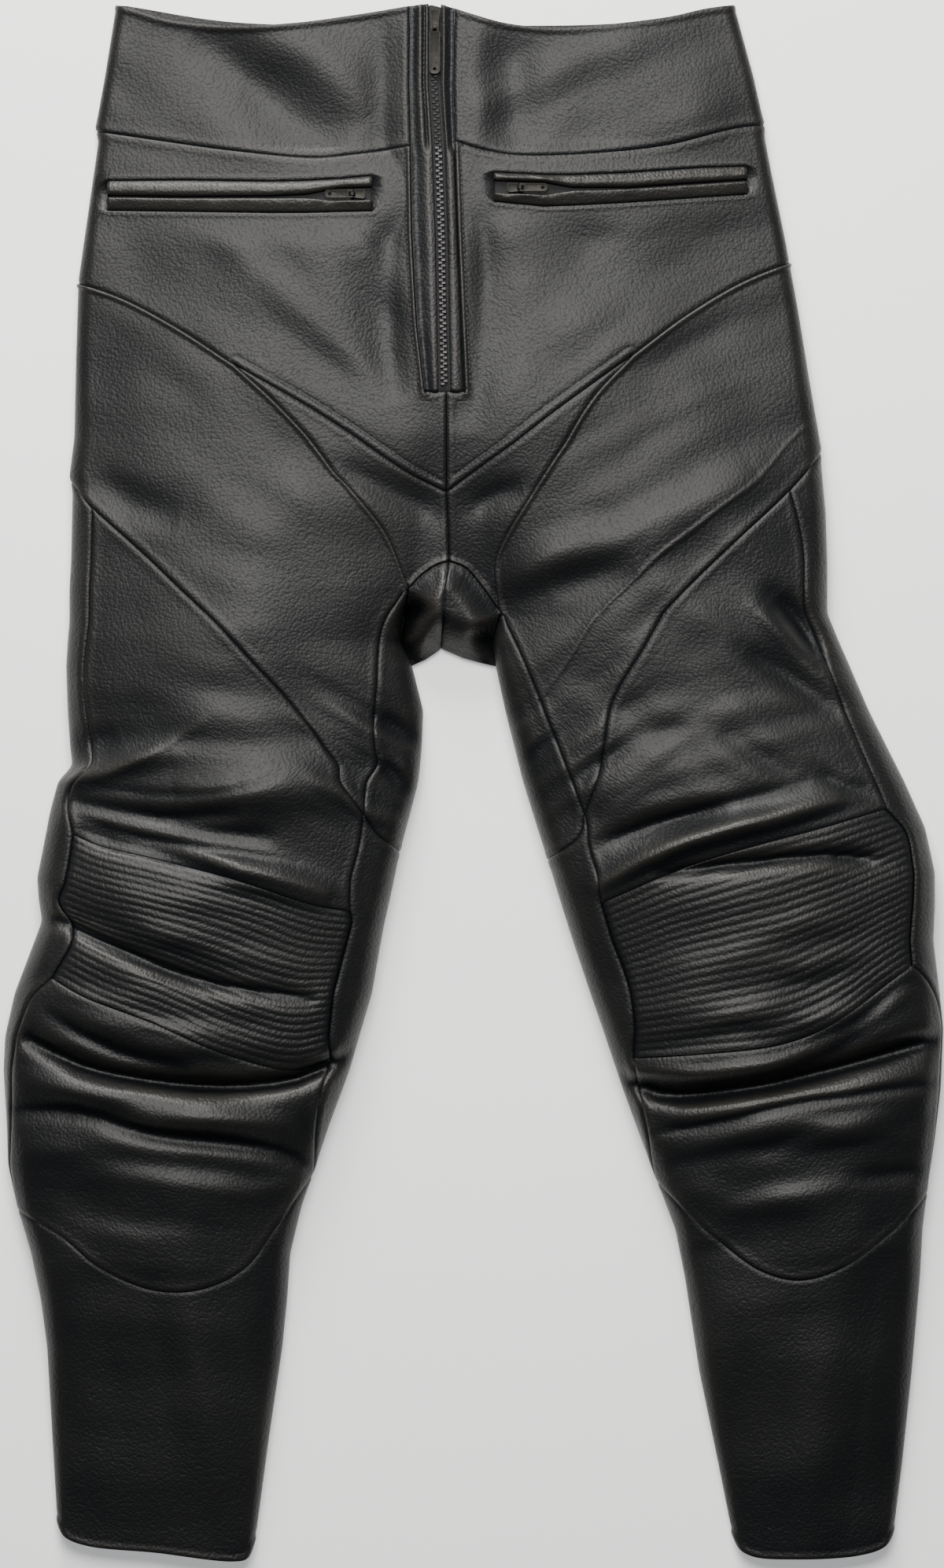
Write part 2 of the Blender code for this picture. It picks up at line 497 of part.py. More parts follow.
def side_seams(side):
    """Every seam of a side as points of its ring, shared by the panels beside it."""
    seams = {}
    for name, points in SEAMS[side.name].items():
        ring = on_ring(side, points)
        if name in WRAPS_OUTSIDE:
            tail = (float(side.under_outer(points[0][1])), points[0][1])
            ring[0, 0] = 0.0
            ring = np.vstack([[tail], ring])
        if name in WRAPS_INSIDE:
            tail = (float(side.under_inner(points[-1][1])), points[-1][1])
            ring[-1, 0] = float(at(side.girth, points[-1][1]))
            ring = np.vstack([ring, [tail]])
        seams[name] = ring
    seams["inner_calf"][-1] = seams["cup"][-2]
    seams["side_calf"][-1] = seams["cup"][1]
    for name, points in CENTRE_SEAM.items():
        if name != "centre_gusset":
            seams[name] = on_ring(side, smooth_curve(points))
    fine = {name: smooth_curve(points) for name, points in seams.items()}
    done = {name: walk(line, side.stride) for name, line in fine.items()}
    for name in ("centre_upper", "centre_lower"):
        done[name] = on_ring(side, walk(smooth_curve(CENTRE_SEAM[name]), lambda x, down: SEAM_STEP))
    done["gusset_top"] = on_ring(side, walk(smooth_curve(SEAMS[side.name]["gusset_top"]), lambda x, down: GUSSET_STEP))
    for name in ("side_knee", "inner_knee"):
        done[name] = evenly(fine[name], RIB_COUNT // 2)
    for name in ("knee_top", "knee_bottom"):
        done[name] = evenly(fine[name], RIB_COLUMNS)
    band_down = SEAMS[side.name]["band"][-1][1]
    done["fly_upper"] = on_ring(side, fly_edge(side.name, SEAMS[side.name]["waist"][-1][1], band_down))
    done["fly_lower"] = on_ring(side, fly_edge(side.name, band_down, FLY_BASE))
    done["fly_base"] = on_ring(side, [fly_edge(side.name, FLY_BASE, FLY_BASE)[0], CENTRE_SEAM["centre_upper"][0]])
    cup, diagonal = done["cup"], done["diagonal_outer"]
    outer_end = np.argmin(np.linalg.norm(cup - seams["cup"][1], axis=1))
    cup[outer_end] = done["side_calf"][-1]
    inner_end = np.argmin(np.linalg.norm(cup - seams["cup"][-2], axis=1))
    cup[inner_end] = done["inner_calf"][-1]
    done["cup_outer_wrap"], done["cup_over"] = cup[:outer_end + 1], cup[outer_end:inner_end + 1]
    done["cup_inner_wrap"] = cup[inner_end:]
    done["crotch"] = walk(np.stack([side.floor_girth(*np.array(CROTCH[side.name], float).T),
                                    np.array(CROTCH[side.name], float)[:, 1]], axis=1), lambda g, d: GUSSET_STEP)
    seat = np.array(SEAT_SEAM[side.name], float)
    seat_ring = np.stack([side.floor_girth(*seat.T), seat[:, 1]], axis=1)
    done["seat"] = walk(smooth_curve(np.vstack([diagonal[:1], seat_ring])), lambda g, d: SEAT_STEP)
    for name, low, high in (("under_band", done["waist"][0][1], done["band"][0][1]),
                            ("under_hip", done["band"][0][1], done["hip_curve_outer"][0][1]),
                            ("under_thigh", done["hip_curve_outer"][0][1], diagonal[0][1]),
                            ("under_shin", cup[0][1], done["hem"][0][1])):
        done[name] = level_line(side.under_outer, low, high)
    done["inside_thigh"] = inside_line(side, done["inner_end"][-1][1])
    done["inside_calf"] = level_line(side.under_inner, done["inner_end"][-1][1], cup[-1][1])
    done["inside_shin"] = level_line(side.under_inner, cup[-1][1], done["hem"][-1][1])
    return done


def level_line(girth_at_level, low, high):
    """A hidden seam that keeps to one line of the ring."""
    downs = np.linspace(low, high, max(2, math.ceil((high - low) / SEAM_STEP) + 1))
    return np.stack([girth_at_level(downs), downs], axis=1)


def inside_line(side, high):
    """The inner thigh's hidden seam: from the crotch's corner, down under the fold."""
    downs = np.concatenate([[side.crotch], np.arange(side.crotch + 3, high, 6.0), [high]])
    reach = smoothstep(side.crotch - 1, side.crotch + 6, downs)
    edge = at(side.girth, downs)
    line = np.stack([edge + reach * (side.under_inner(downs) - edge), downs], axis=1)
    line[0] = on_ring(side, [SEAMS[side.name]["gusset_top"][-1]])[0]
    return line


def chain(*runs):
    """One closed outline from runs of points; each repeats the last one's end."""
    points = [np.asarray(run, float) for run in runs]
    return np.vstack([run[:-1] for run in points])


# ---------------------------------------------------------------- solids
def signed_area(loop):
    x, y = loop[:, 0], loop[:, 1]
    return 0.5 * float(np.sum(x * np.roll(y, -1) - y * np.roll(x, -1)))


def inset(loop, distance):
    """The loop moved in by a distance (out, where it is below 0)."""
    if signed_area(loop) < 0:
        distance = -distance
    before, after = loop - np.roll(loop, 1, axis=0), np.roll(loop, -1, axis=0) - loop
    before /= np.linalg.norm(before, axis=1, keepdims=True)
    after /= np.linalg.norm(after, axis=1, keepdims=True)
    left_before, left_after = (np.stack([-v[:, 1], v[:, 0]], axis=1) for v in (before, after))
    bisector = left_before + left_after
    bisector /= np.maximum(np.linalg.norm(bisector, axis=1, keepdims=True), 1e-9)
    reach = np.maximum(np.sum(bisector * left_before, axis=1, keepdims=True), 0.12)
    return loop + bisector * distance / reach


def inside(loop, points):
    """Which points lie inside a loop."""
    x, y = points[:, 0][:, None], points[:, 1][:, None]
    x0, y0 = loop[:, 0], loop[:, 1]
    x1, y1 = np.roll(x0, -1), np.roll(y0, -1)
    rise = np.where(y1 == y0, 1e-12, y1 - y0)
    crossing = ((y0 > y) != (y1 > y)) & (x < (x1 - x0) * (y - y0) / rise + x0)
    return crossing.sum(axis=1) % 2 == 1


def edge_distance(loop, points):
    a, b = loop, np.roll(loop, -1, axis=0)
    ab = b - a
    t = np.einsum("pqi,qi->pq", points[:, None, :] - a[None], ab) / np.maximum((ab ** 2).sum(axis=1), 1e-12)
    nearest = a[None] + np.clip(t, 0, 1)[..., None] * ab[None]
    return np.linalg.norm(points[:, None, :] - nearest, axis=2).min(axis=1)


def normals(form, points, step=0.05):
    """Outward normals of a form's uncreased shape, the same on both sides of a seam."""
    u, down = points[:, 0], points[:, 1]
    across = form.point(u + step, down, False) - form.point(u - step, down, False)
    along = form.point(u, down + step, False) - form.point(u, down - step, False)
    normal = np.cross(across, along) * form.sign
    return normal / np.linalg.norm(normal, axis=1, keepdims=True)


def to_model(points):
    """Plan millimetres to the model's metres."""
    x, down, z = points[:, 0], points[:, 1], points[:, 2]
    return np.stack([x - CENTRE_ACROSS, LENGTH / 2 - down, z], axis=1) / 1000.0


def material(name, look):
    mat = bpy.data.materials.new(name)
    mat.use_nodes = True
    shader = mat.node_tree.nodes["Principled BSDF"]
    for socket, value in look.items():
        shader.inputs[socket].default_value = value
    return mat


def finish_object(name, bm, look):
    """Closes up a bmesh as a named object with its own material."""
    mesh = bpy.data.meshes.new(name)
    if bm.calc_volume(signed=True) < 0:
        bmesh.ops.reverse_faces(bm, faces=bm.faces)
    bm.to_mesh(mesh)
    bm.free()
    mesh.shade_smooth()
    mesh.set_sharp_from_angle(angle=math.radians(40))
    mesh.materials.append(material(name, look))
    obj = bpy.data.objects.new(name, mesh)
    bpy.context.scene.collection.objects.link(obj)
    return obj


def wall(name, form, points, faces, raised, thickness, look, lift=0.0):
    """A wall of leather: the inner face first, then extruded to the outer one."""
    base, normal = form.point(points[:, 0], points[:, 1]), normals(form, points)
    flip = np.array([1.0, -1.0, 1.0])                    # "down" runs against +Y
    step = normal * flip
    outer = to_model(base) + step * (lift + raised)[:, None] / 1000.0
    inner = to_model(base) + step * (lift - thickness) / 1000.0
    bm = bmesh.new()
    key = bm.verts.layers.int.new("point")
    verts = [bm.verts.new(point) for point in inner]
    for index, vert in enumerate(verts):
        vert[key] = index
    for face in faces:
        bm.faces.new([verts[i] for i in face])
    region = bmesh.ops.extrude_face_region(bm, geom=bm.faces[:], use_keep_orig=True)
    for element in region["geom"]:
        if isinstance(element, bmesh.types.BMVert):
            element.co = Vector(outer[element[key]])
    return finish_object(name, bm, look)


def cut_panel(name, form, outline, spacing, holes=(), gap=HALF_GAP, tapered=False):
    """A leather panel between its seams: its outline, filled with points, made a wall."""
    border = inset(outline, gap)
    border = border[edge_distance(outline, border) > 0.95 * gap]
    windows = [inset(hole, -gap) for hole in holes]
    across, along = spacing
    low, high = border[:, 1].min(), border[:, 1].max()
    rows = [np.stack([cols, np.full(len(cols), down)], axis=1)
            for down in np.arange(low + along / 2, high, along)
            for cols in [form.columns(down, across)]]
    filling = np.vstack(rows)
    filling = filling[inside(border, filling)]
    filling = filling[edge_distance(border, filling) > 0.34 * np.array(
        [min(form.stride(*point), along) for point in filling])]
    for window in windows:
        filling = filling[~inside(window, filling)]
        filling = filling[edge_distance(window, filling) > 0.3 * along]
    loops, points = [], np.zeros((0, 2))
    for loop in [border] + windows:
        loops.append(list(range(len(points), len(points) + len(loop))))
        points = np.vstack([points, loop])
    points = np.vstack([points, filling])
    edges = [(loop[i], loop[(i + 1) % len(loop)]) for loop in loops for i in range(len(loop))]
    if tapered:
        points[:, 0] /= form.taper(points[:, 1])
    corners, _, triangles, *_ = delaunay_2d_cdt([Vector(p) for p in points], edges, [], 0, 1e-6)
    corners = np.array([tuple(corner) for corner in corners])
    middles = np.array([corners[list(t)].mean(axis=0) for t in triangles])
    keep = inside(points[loops[0]], middles)
    for window in windows:
        keep &= ~inside(window, middles)
    faces = [triangle for triangle, kept in zip(triangles, keep) if kept]
    used = sorted({index for face in faces for index in face})
    place = {index: order for order, index in enumerate(used)}
    faces = [[place[index] for index in face] for face in faces]
    corners = corners[used]
    if tapered:
        corners[:, 0] *= form.taper(corners[:, 1])
    return wall(name, form, corners, faces, np.zeros(len(corners)), LEATHER, BLACK_LEATHER)


def grid_panel(name, form, top, bottom, first, last, relief, thickness=LEATHER, lift=0.0, look=BLACK_LEATHER,
               gap=HALF_GAP):
    """A four-sided panel in rows and columns; relief(u, v) raises its outer face."""
    columns, rows = len(top) - 1, len(first) - 1
    border = inset(chain(top, last, bottom[::-1], first[::-1]), gap)
    top = border[:columns + 1]
    last = border[columns:columns + rows + 1]
    bottom = border[columns + rows:2 * columns + rows + 1][::-1]
    first = np.vstack([border[2 * columns + rows:], border[:1]])[::-1]
    points, raised = [], []
    for j in range(rows + 1):
        v = j / rows
        for i in range(columns + 1):
            u = i / columns
            points.append((1 - v) * top[i] + v * bottom[i] + (1 - u) * first[j] + u * last[j]
                          - (1 - u) * (1 - v) * top[0] - u * (1 - v) * top[-1]
                          - (1 - u) * v * bottom[0] - u * v * bottom[-1])
            raised.append(relief(i, j, columns, rows))
    faces = [(j * (columns + 1) + i, j * (columns + 1) + i + 1, (j + 1) * (columns + 1) + i + 1,
              (j + 1) * (columns + 1) + i) for j in range(rows) for i in range(columns)]
    return wall(name, form, np.array(points), faces, np.array(raised), thickness, look, lift)


# ---------------------------------------------------------------- garment
def ribs(i, j, columns, rows):
    """Rib crests on every second row, run out at the panel's edges."""
    return RIB_RISE if j % 2 == 1 and 0 < i < columns else 0.0


def rib_ends(side, seam):
    """A seam beside the ribs, a point at each crest and valley, still on its straight runs."""
    return on_ring(side, evenly(side.point(seam[:, 0], seam[:, 1])[:, :2], 2 * RIB_COUNT))


def rolled(i, j, columns, rows):
    """A welt's rolled crown."""
    return WELT_RISE * math.sin(math.pi * j / rows)


def pocket_lines(rows, upper, lower):
    """Two lines of a pocket as plan points, evenly across."""
    xs = np.linspace(rows[0].x, rows[-1].x, 9)
    def line(height):
        return np.stack([xs, np.interp(xs, [row.x for row in rows], [height(row) for row in rows])], axis=1)
    return line(upper), line(lower)


def pocket(side):
    """The pocket's two rolled welts and the zip under them; returns its window."""
    rows = POCKETS[side.name]
    top, bottom = pocket_lines(rows, lambda r: r.top, lambda r: r.bottom)
    upper_lip, lower_lip = pocket_lines(rows, lambda r: r.middle - r.gap, lambda r: r.middle + r.gap)
    for name, high, low in (("upper", top, upper_lip), ("lower", lower_lip, bottom)):
        first = high[0] + (low[0] - high[0]) * np.linspace(0, 1, 4)[:, None]
        last = high[-1] + (low[-1] - high[-1]) * np.linspace(0, 1, 4)[:, None]
        grid_panel(f"pocket_welt_{name}_{side.name}", side, on_ring(side, high), on_ring(side, low),
                   on_ring(side, first), on_ring(side, last), rolled)
    over, under = pocket_lines(rows, lambda r: r.middle - 7.0, lambda r: r.middle + 7.0)
    ends = [line[[0, -1]] for line in (over, under)]
    grid_panel(f"pocket_zip_{side.name}", side, on_ring(side, over), on_ring(side, under),
               on_ring(side, [ends[0][0], ends[1][0]]), on_ring(side, [ends[0][1], ends[1][1]]),
               lambda i, j, columns, rows: 0.0, thickness=TAPE, lift=-(LEATHER + CLEAR), look=ZIP_TAPE)
    return on_ring(side, np.vstack([top, bottom[::-1]]))


def front(side, seams):
    """The panels of a side that are seen from above."""
    name = side.name
    window = pocket(side)
    cut_panel(f"waistband_front_{name}", side,
              chain(seams["waist"], seams["fly_upper"], seams["band"][::-1], seams["under_band"][::-1]), (24, 22))
    cut_panel(f"hip_front_{name}", side,
              chain(seams["band"], seams["fly_lower"], seams["fly_base"], seams["centre_upper"],
                    seams["v"][::-1], seams["hip_curve_outer"][::-1], seams["under_hip"][::-1]),
              (22, 18), holes=[window])
    cut_panel(f"crotch_front_{name}", side,
              chain(seams["v"], seams["centre_lower"], seams["gusset_top"], seams["hip_curve_inner"][::-1]),
              (20, 18))
    cut_panel(f"thigh_front_{name}", side,
              chain(seams["hip_curve_outer"], seams["hip_curve_inner"], seams["inner_thigh"],
                    seams["diagonal"][::-1], seams["diagonal_outer"][::-1], seams["under_thigh"][::-1]), (23, 19))
    cut_panel(f"lower_thigh_{name}", side,
              chain(seams["diagonal"], seams["inner_above_knee"], seams["knee_top"][::-1],
                    seams["side_thigh"][::-1]), (23, 11))
    cut_panel(f"inner_thigh_{name}", side,
              chain(seams["inner_thigh"], seams["inner_end"], seams["inside_thigh"][::-1]), (18, 14), tapered=True)
    grid_panel(f"knee_ribbed_{name}", side, seams["knee_top"], seams["knee_bottom"],
               rib_ends(side, seams["side_knee"]), rib_ends(side, seams["inner_knee"]), ribs)
    cut_panel(f"knee_pad_{name}", side,
              chain(seams["knee_bottom"], seams["inner_calf"], seams["cup_over"][::-1],
                    seams["side_calf"][::-1]), (25, 8))
    cut_panel(f"inner_calf_{name}", side,
              chain(seams["inner_above_knee"], seams["inner_knee"], seams["inner_calf"], seams["cup_inner_wrap"],
                    seams["inside_calf"][::-1], seams["inner_end"][::-1]), (18, 18), tapered=True)
    cut_panel(f"shin_{name}", side,
              chain(seams["cup_outer_wrap"], seams["cup_over"], seams["cup_inner_wrap"], seams["inside_shin"],
                    seams["hem"][::-1], seams["under_shin"][::-1]), (26, 34), tapered=True)


def back(side, seams):
    """The seat and the back leg, flat underneath."""
    name = side.name
    outside = level_line(side.under_outer, seams["band"][0][1], seams["diagonal_outer"][0][1])
    centre = [(-20.0, down) for down in np.linspace(BACK_BAND, CROTCH[name][0][1] - 0.3, 9)]
    centre = np.array([(float(side.floor_girth(x, down)), down) for x, down in centre])
    band_back = np.vstack([seams["band"][:1], centre[:1]])
    cut_panel(f"seat_{name}", side,
              chain(band_back, centre, seams["seat"][::-1], outside[::-1]), (FLOOR_STEP, FLOOR_STEP))
    cut_panel(f"back_leg_{name}", side,
              chain(seams["seat"], seams["crotch"], seams["inner_floor"], seams["hem_back"][::-1],
                    seams["under_shin"][::-1], seams["cup_outer_wrap"], seams["side_calf"][::-1],
                    seams["side_knee"][::-1], seams["side_thigh"][::-1], seams["diagonal_outer"][::-1]), (FLOOR_STEP, FLOOR_STEP))


def floor_lines(side, seams):
    """The lines underneath that only the back leg needs."""
    start = CROTCH[side.name][-1][1]
    hidden = np.concatenate([seams[name][:, 1] for name in ("inside_thigh", "inside_calf", "inside_shin")])
    downs = np.concatenate([[start, start + 3], np.unique(hidden[hidden > start + 5])])
    x = at(side.inner, downs) - side.sign * at(side.inner_roll, downs)
    x[0] = CROTCH[side.name][-1][0]
    seams["inner_floor"] = np.stack([side.floor_girth(x, downs), downs], axis=1)
    outer_end, inner_end = seams["hem"][0], seams["inner_floor"][-1]
    middle = [(outer_end[0] + (inner_end[0] - outer_end[0]) * t,
               outer_end[1] + (inner_end[1] - outer_end[1]) * t + 10 * math.sin(math.pi * t) ** 0.5)
              for t in (0.12, 0.35, 0.6, 0.88)]
    seams["hem_back"] = np.vstack([[outer_end], middle, [inner_end]])


def waistband_back(seams):
    """One strip underneath, from one folded edge to the other."""
    right, left = SIDES["right"], SIDES["left"]
    corners = []
    for side, own in ((right, seams["right"]), (left, seams["left"])):
        under = own["under_band"]
        corners.append([right_floor_point(side, girth, down) for girth, down in under])
    top = [corners[0][0], (-150, 10), (-20, 12), (100, 10), corners[1][0]]
    low = [corners[1][-1], (-20.0, BACK_BAND), corners[0][-1]]
    ring = chain(top, corners[1], low, corners[0][::-1])
    ring = np.stack([right.floor_girth(ring[:, 0], ring[:, 1]), ring[:, 1]], axis=1)
    cut_panel("waistband_back", right, ring, (FLOOR_STEP, FLOOR_STEP))


def right_floor_point(side, girth, down):
    x, _, _ = side.point(np.array([girth]), np.array([down]))[0]
    return (float(x), float(down))


def gusset(side):
    """Half of the crotch gusset, arched between the thighs."""
    form = GussetForm(side.name)
    top = walk(smooth_curve(SEAMS[side.name]["gusset_top"]), lambda x, down: GUSSET_STEP)
    toe = walk(np.array(CROTCH[side.name], float), form.stride)
    centre = walk(smooth_curve(CENTRE_SEAM["centre_gusset"]), form.stride)
    corner, end = top[-1], toe[-1]
    downs = np.linspace(corner[1], end[1], 11)
    flank = np.stack([at(side.inner, downs) + side.sign * 0.3, downs], axis=1)
    flank[0], flank[-1] = corner, end
    cut_panel(f"gusset_{side.name}", form, chain(top, flank, toe[::-1], centre[::-1]), (5.5, 5.5),
              gap=2 * HALF_GAP)


def fly():
    """The fly: two welts, the tape under them and the teeth between them."""
    plan = Plan()
    downs = np.linspace(0, FLY_BASE, 12)
    zips = np.interp(downs, [row.down for row in FLY], [row.zip for row in FLY])
    waist = np.array(WAIST_OVER_FLY)
    for name, direction in (("right", -1), ("left", 1)):
        edge_x = np.interp(downs, [row.down for row in FLY], [getattr(row, name) for row in FLY])
        slot_x = zips + direction * SLOT_HALF
        first = np.stack([edge_x, downs], axis=1)
        last = np.stack([slot_x, downs], axis=1)
        first[0, 1] = np.interp(first[0, 0], waist[:, 0], waist[:, 1])
        last[0, 1] = np.interp(last[0, 0], waist[:, 0], waist[:, 1])
        steps = np.linspace(0, 1, 4)[:, None]
        top = first[0] + (last[0] - first[0]) * steps
        bottom = first[-1] + (last[-1] - first[-1]) * steps
        grid_panel(f"fly_welt_{name}", plan, top, bottom, first, last,
                   lambda i, j, columns, rows: 0.5 * math.sin(math.pi * i / columns))
    for name, half, low, high, thickness, lift, look in (
            ("fly_tape", 12.0, 4.0, FLY_BASE + 3.0, TAPE, -(LEATHER + CLEAR), ZIP_TAPE),
            ("fly_teeth", 2.7, 21.0, FLY_BASE - 3.0, 1.3, -CLEAR, ZIP_METAL)):
        downs = np.linspace(low, high, 12)
        zips = np.interp(downs, [row.down for row in FLY], [row.zip for row in FLY])
        first, last = (np.stack([zips + edge * half, downs], axis=1) for edge in (-1, 1))
        grid_panel(name, plan, np.array([first[0], last[0]]), np.array([first[-1], last[-1]]), first, last,
                   lambda i, j, columns, rows: 0.0, thickness=thickness, lift=lift, look=look)


# ---------------------------------------------------------------- sliders and pulls
class Slider(NamedTuple):
    """A zip slider: where it is in plan, which way its pull lies, and its sizes."""
    name: str
    x: float
    down: float
    turn: float               # degrees from +X to the way the pull lies
    length: float
    width: float
    pull_length: float
    pull_width: float


SLIDERS = (
    Slider("fly", -24.0, 10.5, -90.0, 13.0, 6.6, 29.0, 7.0),
    Slider("pocket_right", -72.0, 119.3, 180.0, 10.0, 6.4, 17.0, 5.0),
    Slider("pocket_left", 26.0, 115.3, 0.0, 10.0, 6.4, 17.0, 5.0),
)
LUG = Vector((3.6, 2.2, 3.0))      # the slider's eye: along, across, up
PIN_RADIUS = 0.6
EYE_RADIUS = 1.0
EAR = 1.1                  # thickness of a pull's ears
EAR_ROUND = 0.95           # how far an ear reaches behind, over and under the pin: it turns clear of the slider
PULL_THICKNESS = 1.1
BODY_LOW, BODY_HIGH = -1.4, 1.5    # slider body under and over the welts' face


def box(bm, low, high, bevel=0.0):
    """A box between two corners, its edges eased."""
    low, high = Vector(low), Vector(high)
    made = bmesh.ops.create_cube(bm, size=1.0)["verts"]
    bmesh.ops.scale(bm, vec=high - low, verts=made)
    bmesh.ops.translate(bm, vec=(low + high) / 2, verts=made)
    if bevel:
        edges = list({edge for vert in made for edge in vert.link_edges})
        bmesh.ops.bevel(bm, geom=edges, offset=bevel, segments=1, profile=0.5, affect="EDGES")


def rod(bm, radius, half_length, centre):
    """A rod across the zip, through a point."""
    turn = Matrix.Translation(centre) @ Matrix.Rotation(QUARTER, 4, "X")
    bmesh.ops.create_cone(bm, cap_ends=True, segments=10, radius1=radius, radius2=radius,
                          depth=2 * half_length, matrix=turn)


def small_part(name, build, hidden=False):
    bm = bmesh.new()
    build(bm)
    bmesh.ops.scale(bm, vec=Vector((0.001, 0.001, 0.001)), verts=bm.verts)
    obj = finish_object(name, bm, ZIP_METAL)
    obj.hide_render = hidden
    if hidden:
        obj.display_type = "WIRE"
    return obj


def combine(obj, other, operation):
    """A live Boolean of two objects."""
    boolean = obj.modifiers.new(operation.title(), "BOOLEAN")
    boolean.operation = operation
    boolean.object = other
    boolean.solver = "EXACT"


def slider_and_pull(slider):
    """A slider with an eye, and a pull hinged in it; the pull lies flat along the zip."""
    eye = Vector((slider.length / 2 - LUG.x / 2, 0, BODY_HIGH + LUG.z / 2))
    half_width = LUG.y / 2 + CLEAR + EAR
    end = eye.x + slider.pull_length

    def body(bm):
        box(bm, (-slider.length / 2, -slider.width / 2, BODY_LOW), (slider.length / 2, slider.width / 2, BODY_HIGH),
            bevel=0.7)

    def lug(bm):
        box(bm, eye - Vector((LUG.x / 2, LUG.y / 2, LUG.z / 2 + 0.5)), eye + LUG / 2, bevel=0.5)

    def plate(bm):
        start = eye.x + LUG.x / 2 + 0.6
        box(bm, (start, -slider.pull_width / 2, eye.z - PULL_THICKNESS / 2),
            (end, slider.pull_width / 2, eye.z + PULL_THICKNESS / 2), bevel=0.35)

    def ear(direction):
        def build(bm):
            near = direction * (LUG.y / 2 + CLEAR)
            far = direction * half_width
            box(bm, (eye.x - EAR_ROUND, min(near, far), eye.z - EAR_ROUND),
                (eye.x + LUG.x / 2 + 1.6, max(near, far), eye.z + EAR_ROUND))
        return build

    node = {"fly": ("fly_slider", "fly_pull")}.get(
        slider.name, (slider.name.replace("pocket", "pocket_slider"), slider.name.replace("pocket", "pocket_pull")))
    body_obj = small_part(node[0], body)
    combine(body_obj, small_part(f"{node[0]}_lug", lug, hidden=True), "UNION")
    combine(body_obj, small_part(f"{node[0]}_eye", lambda bm: rod(bm, EYE_RADIUS, LUG.y, eye), hidden=True),
            "DIFFERENCE")
    pull = small_part(node[1], plate)
    pieces = [small_part(f"{node[1]}_ear_{i}", ear(d), hidden=True) for i, d in enumerate((-1, 1))]
    pieces.append(small_part(f"{node[1]}_pin", lambda bm: rod(bm, PIN_RADIUS, half_width - 0.4, eye), hidden=True))
    for piece in pieces:
        combine(pull, piece, "UNION")
    hole = small_part(f"{node[1]}_hole",
                      lambda bm: bmesh.ops.create_cone(
                          bm, cap_ends=True, segments=10, radius1=1.1, radius2=1.1, depth=6,
                          matrix=Matrix.Translation((end - 3.0, 0, eye.z))), hidden=True)
    combine(pull, hole, "DIFFERENCE")
    height = float(Plan().point(np.array([slider.x]), np.array([slider.down]))[0, 2])
    spot = to_model(np.array([[slider.x, slider.down, height]]))[0]
    holder = bpy.data.objects.new(f"{node[0]}_place", None)
    bpy.context.scene.collection.objects.link(holder)
    holder.location = Vector(spot)
    holder.rotation_euler = (0, 0, math.radians(slider.turn))
    for obj in [body_obj, pull] + pieces + [hole] + [m.object for m in body_obj.modifiers]:
        obj.parent = holder


def build():
    for obj in list(bpy.data.objects):
        bpy.data.objects.remove(obj, do_unlink=True)
    seams = {name: side_seams(side) for name, side in SIDES.items()}
    for name, side in SIDES.items():
        floor_lines(side, seams[name])
        front(side, seams[name])
        back(side, seams[name])
        gusset(side)
    waistband_back(seams)
    fly()
    for slider in SLIDERS:
        slider_and_pull(slider)


build()
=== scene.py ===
"""Leather riding trousers laid flat on their back panels: the looks of every piece.

Sizes are millimetres in the garment's own plan: x runs across the front, "down"
runs from the highest point of the waist towards the hems. The model is in
metres, +Y towards the waist, +Z up. Right and left are the wearer's: the right
leg is on -X. Each side is one closed ring of leather; a point of it is named by
its girth, the distance round the ring from the outer edge, and by how far down
it is. Every panel is a thin shell cut from that ring between its seams.
"""
from __future__ import annotations

import logging
import math
from dataclasses import dataclass, field
from enum import Enum
from typing import Callable, NamedTuple, Sequence

import bmesh
import bpy
import numpy as np
from mathutils import Matrix, Vector
from mathutils.geometry import delaunay_2d_cdt

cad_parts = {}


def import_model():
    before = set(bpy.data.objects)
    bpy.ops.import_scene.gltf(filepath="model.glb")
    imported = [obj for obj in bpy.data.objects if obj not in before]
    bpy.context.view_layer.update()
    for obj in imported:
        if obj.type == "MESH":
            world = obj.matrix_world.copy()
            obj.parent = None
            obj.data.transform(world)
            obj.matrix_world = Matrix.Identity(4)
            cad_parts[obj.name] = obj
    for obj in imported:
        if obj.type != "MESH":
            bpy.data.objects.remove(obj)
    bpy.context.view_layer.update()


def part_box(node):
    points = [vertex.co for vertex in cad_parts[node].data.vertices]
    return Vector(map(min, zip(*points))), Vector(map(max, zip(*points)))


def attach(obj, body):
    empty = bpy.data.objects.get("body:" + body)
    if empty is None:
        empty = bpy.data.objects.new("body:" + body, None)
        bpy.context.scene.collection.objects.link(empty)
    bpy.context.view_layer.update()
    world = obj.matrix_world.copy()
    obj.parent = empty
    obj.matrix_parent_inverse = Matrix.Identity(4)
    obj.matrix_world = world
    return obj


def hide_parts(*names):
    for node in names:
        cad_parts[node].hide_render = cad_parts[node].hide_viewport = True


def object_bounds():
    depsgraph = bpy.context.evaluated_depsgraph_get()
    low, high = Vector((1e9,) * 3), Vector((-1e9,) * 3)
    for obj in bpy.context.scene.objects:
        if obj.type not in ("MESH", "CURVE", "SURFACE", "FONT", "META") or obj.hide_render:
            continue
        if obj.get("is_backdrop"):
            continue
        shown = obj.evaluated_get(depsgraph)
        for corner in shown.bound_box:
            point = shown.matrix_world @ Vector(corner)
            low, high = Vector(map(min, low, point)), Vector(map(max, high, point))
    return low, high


LOG = logging.getLogger("trousers")
Array = np.ndarray
Points = Sequence[tuple[float, float]]
Object = bpy.types.Object
Material = bpy.types.Material
Socket = bpy.types.NodeSocket
Unit = tuple[Array, list[list[int]]]      # the points and faces of a small shape
Girths = Callable[[Array], Array]         # a girth for each level

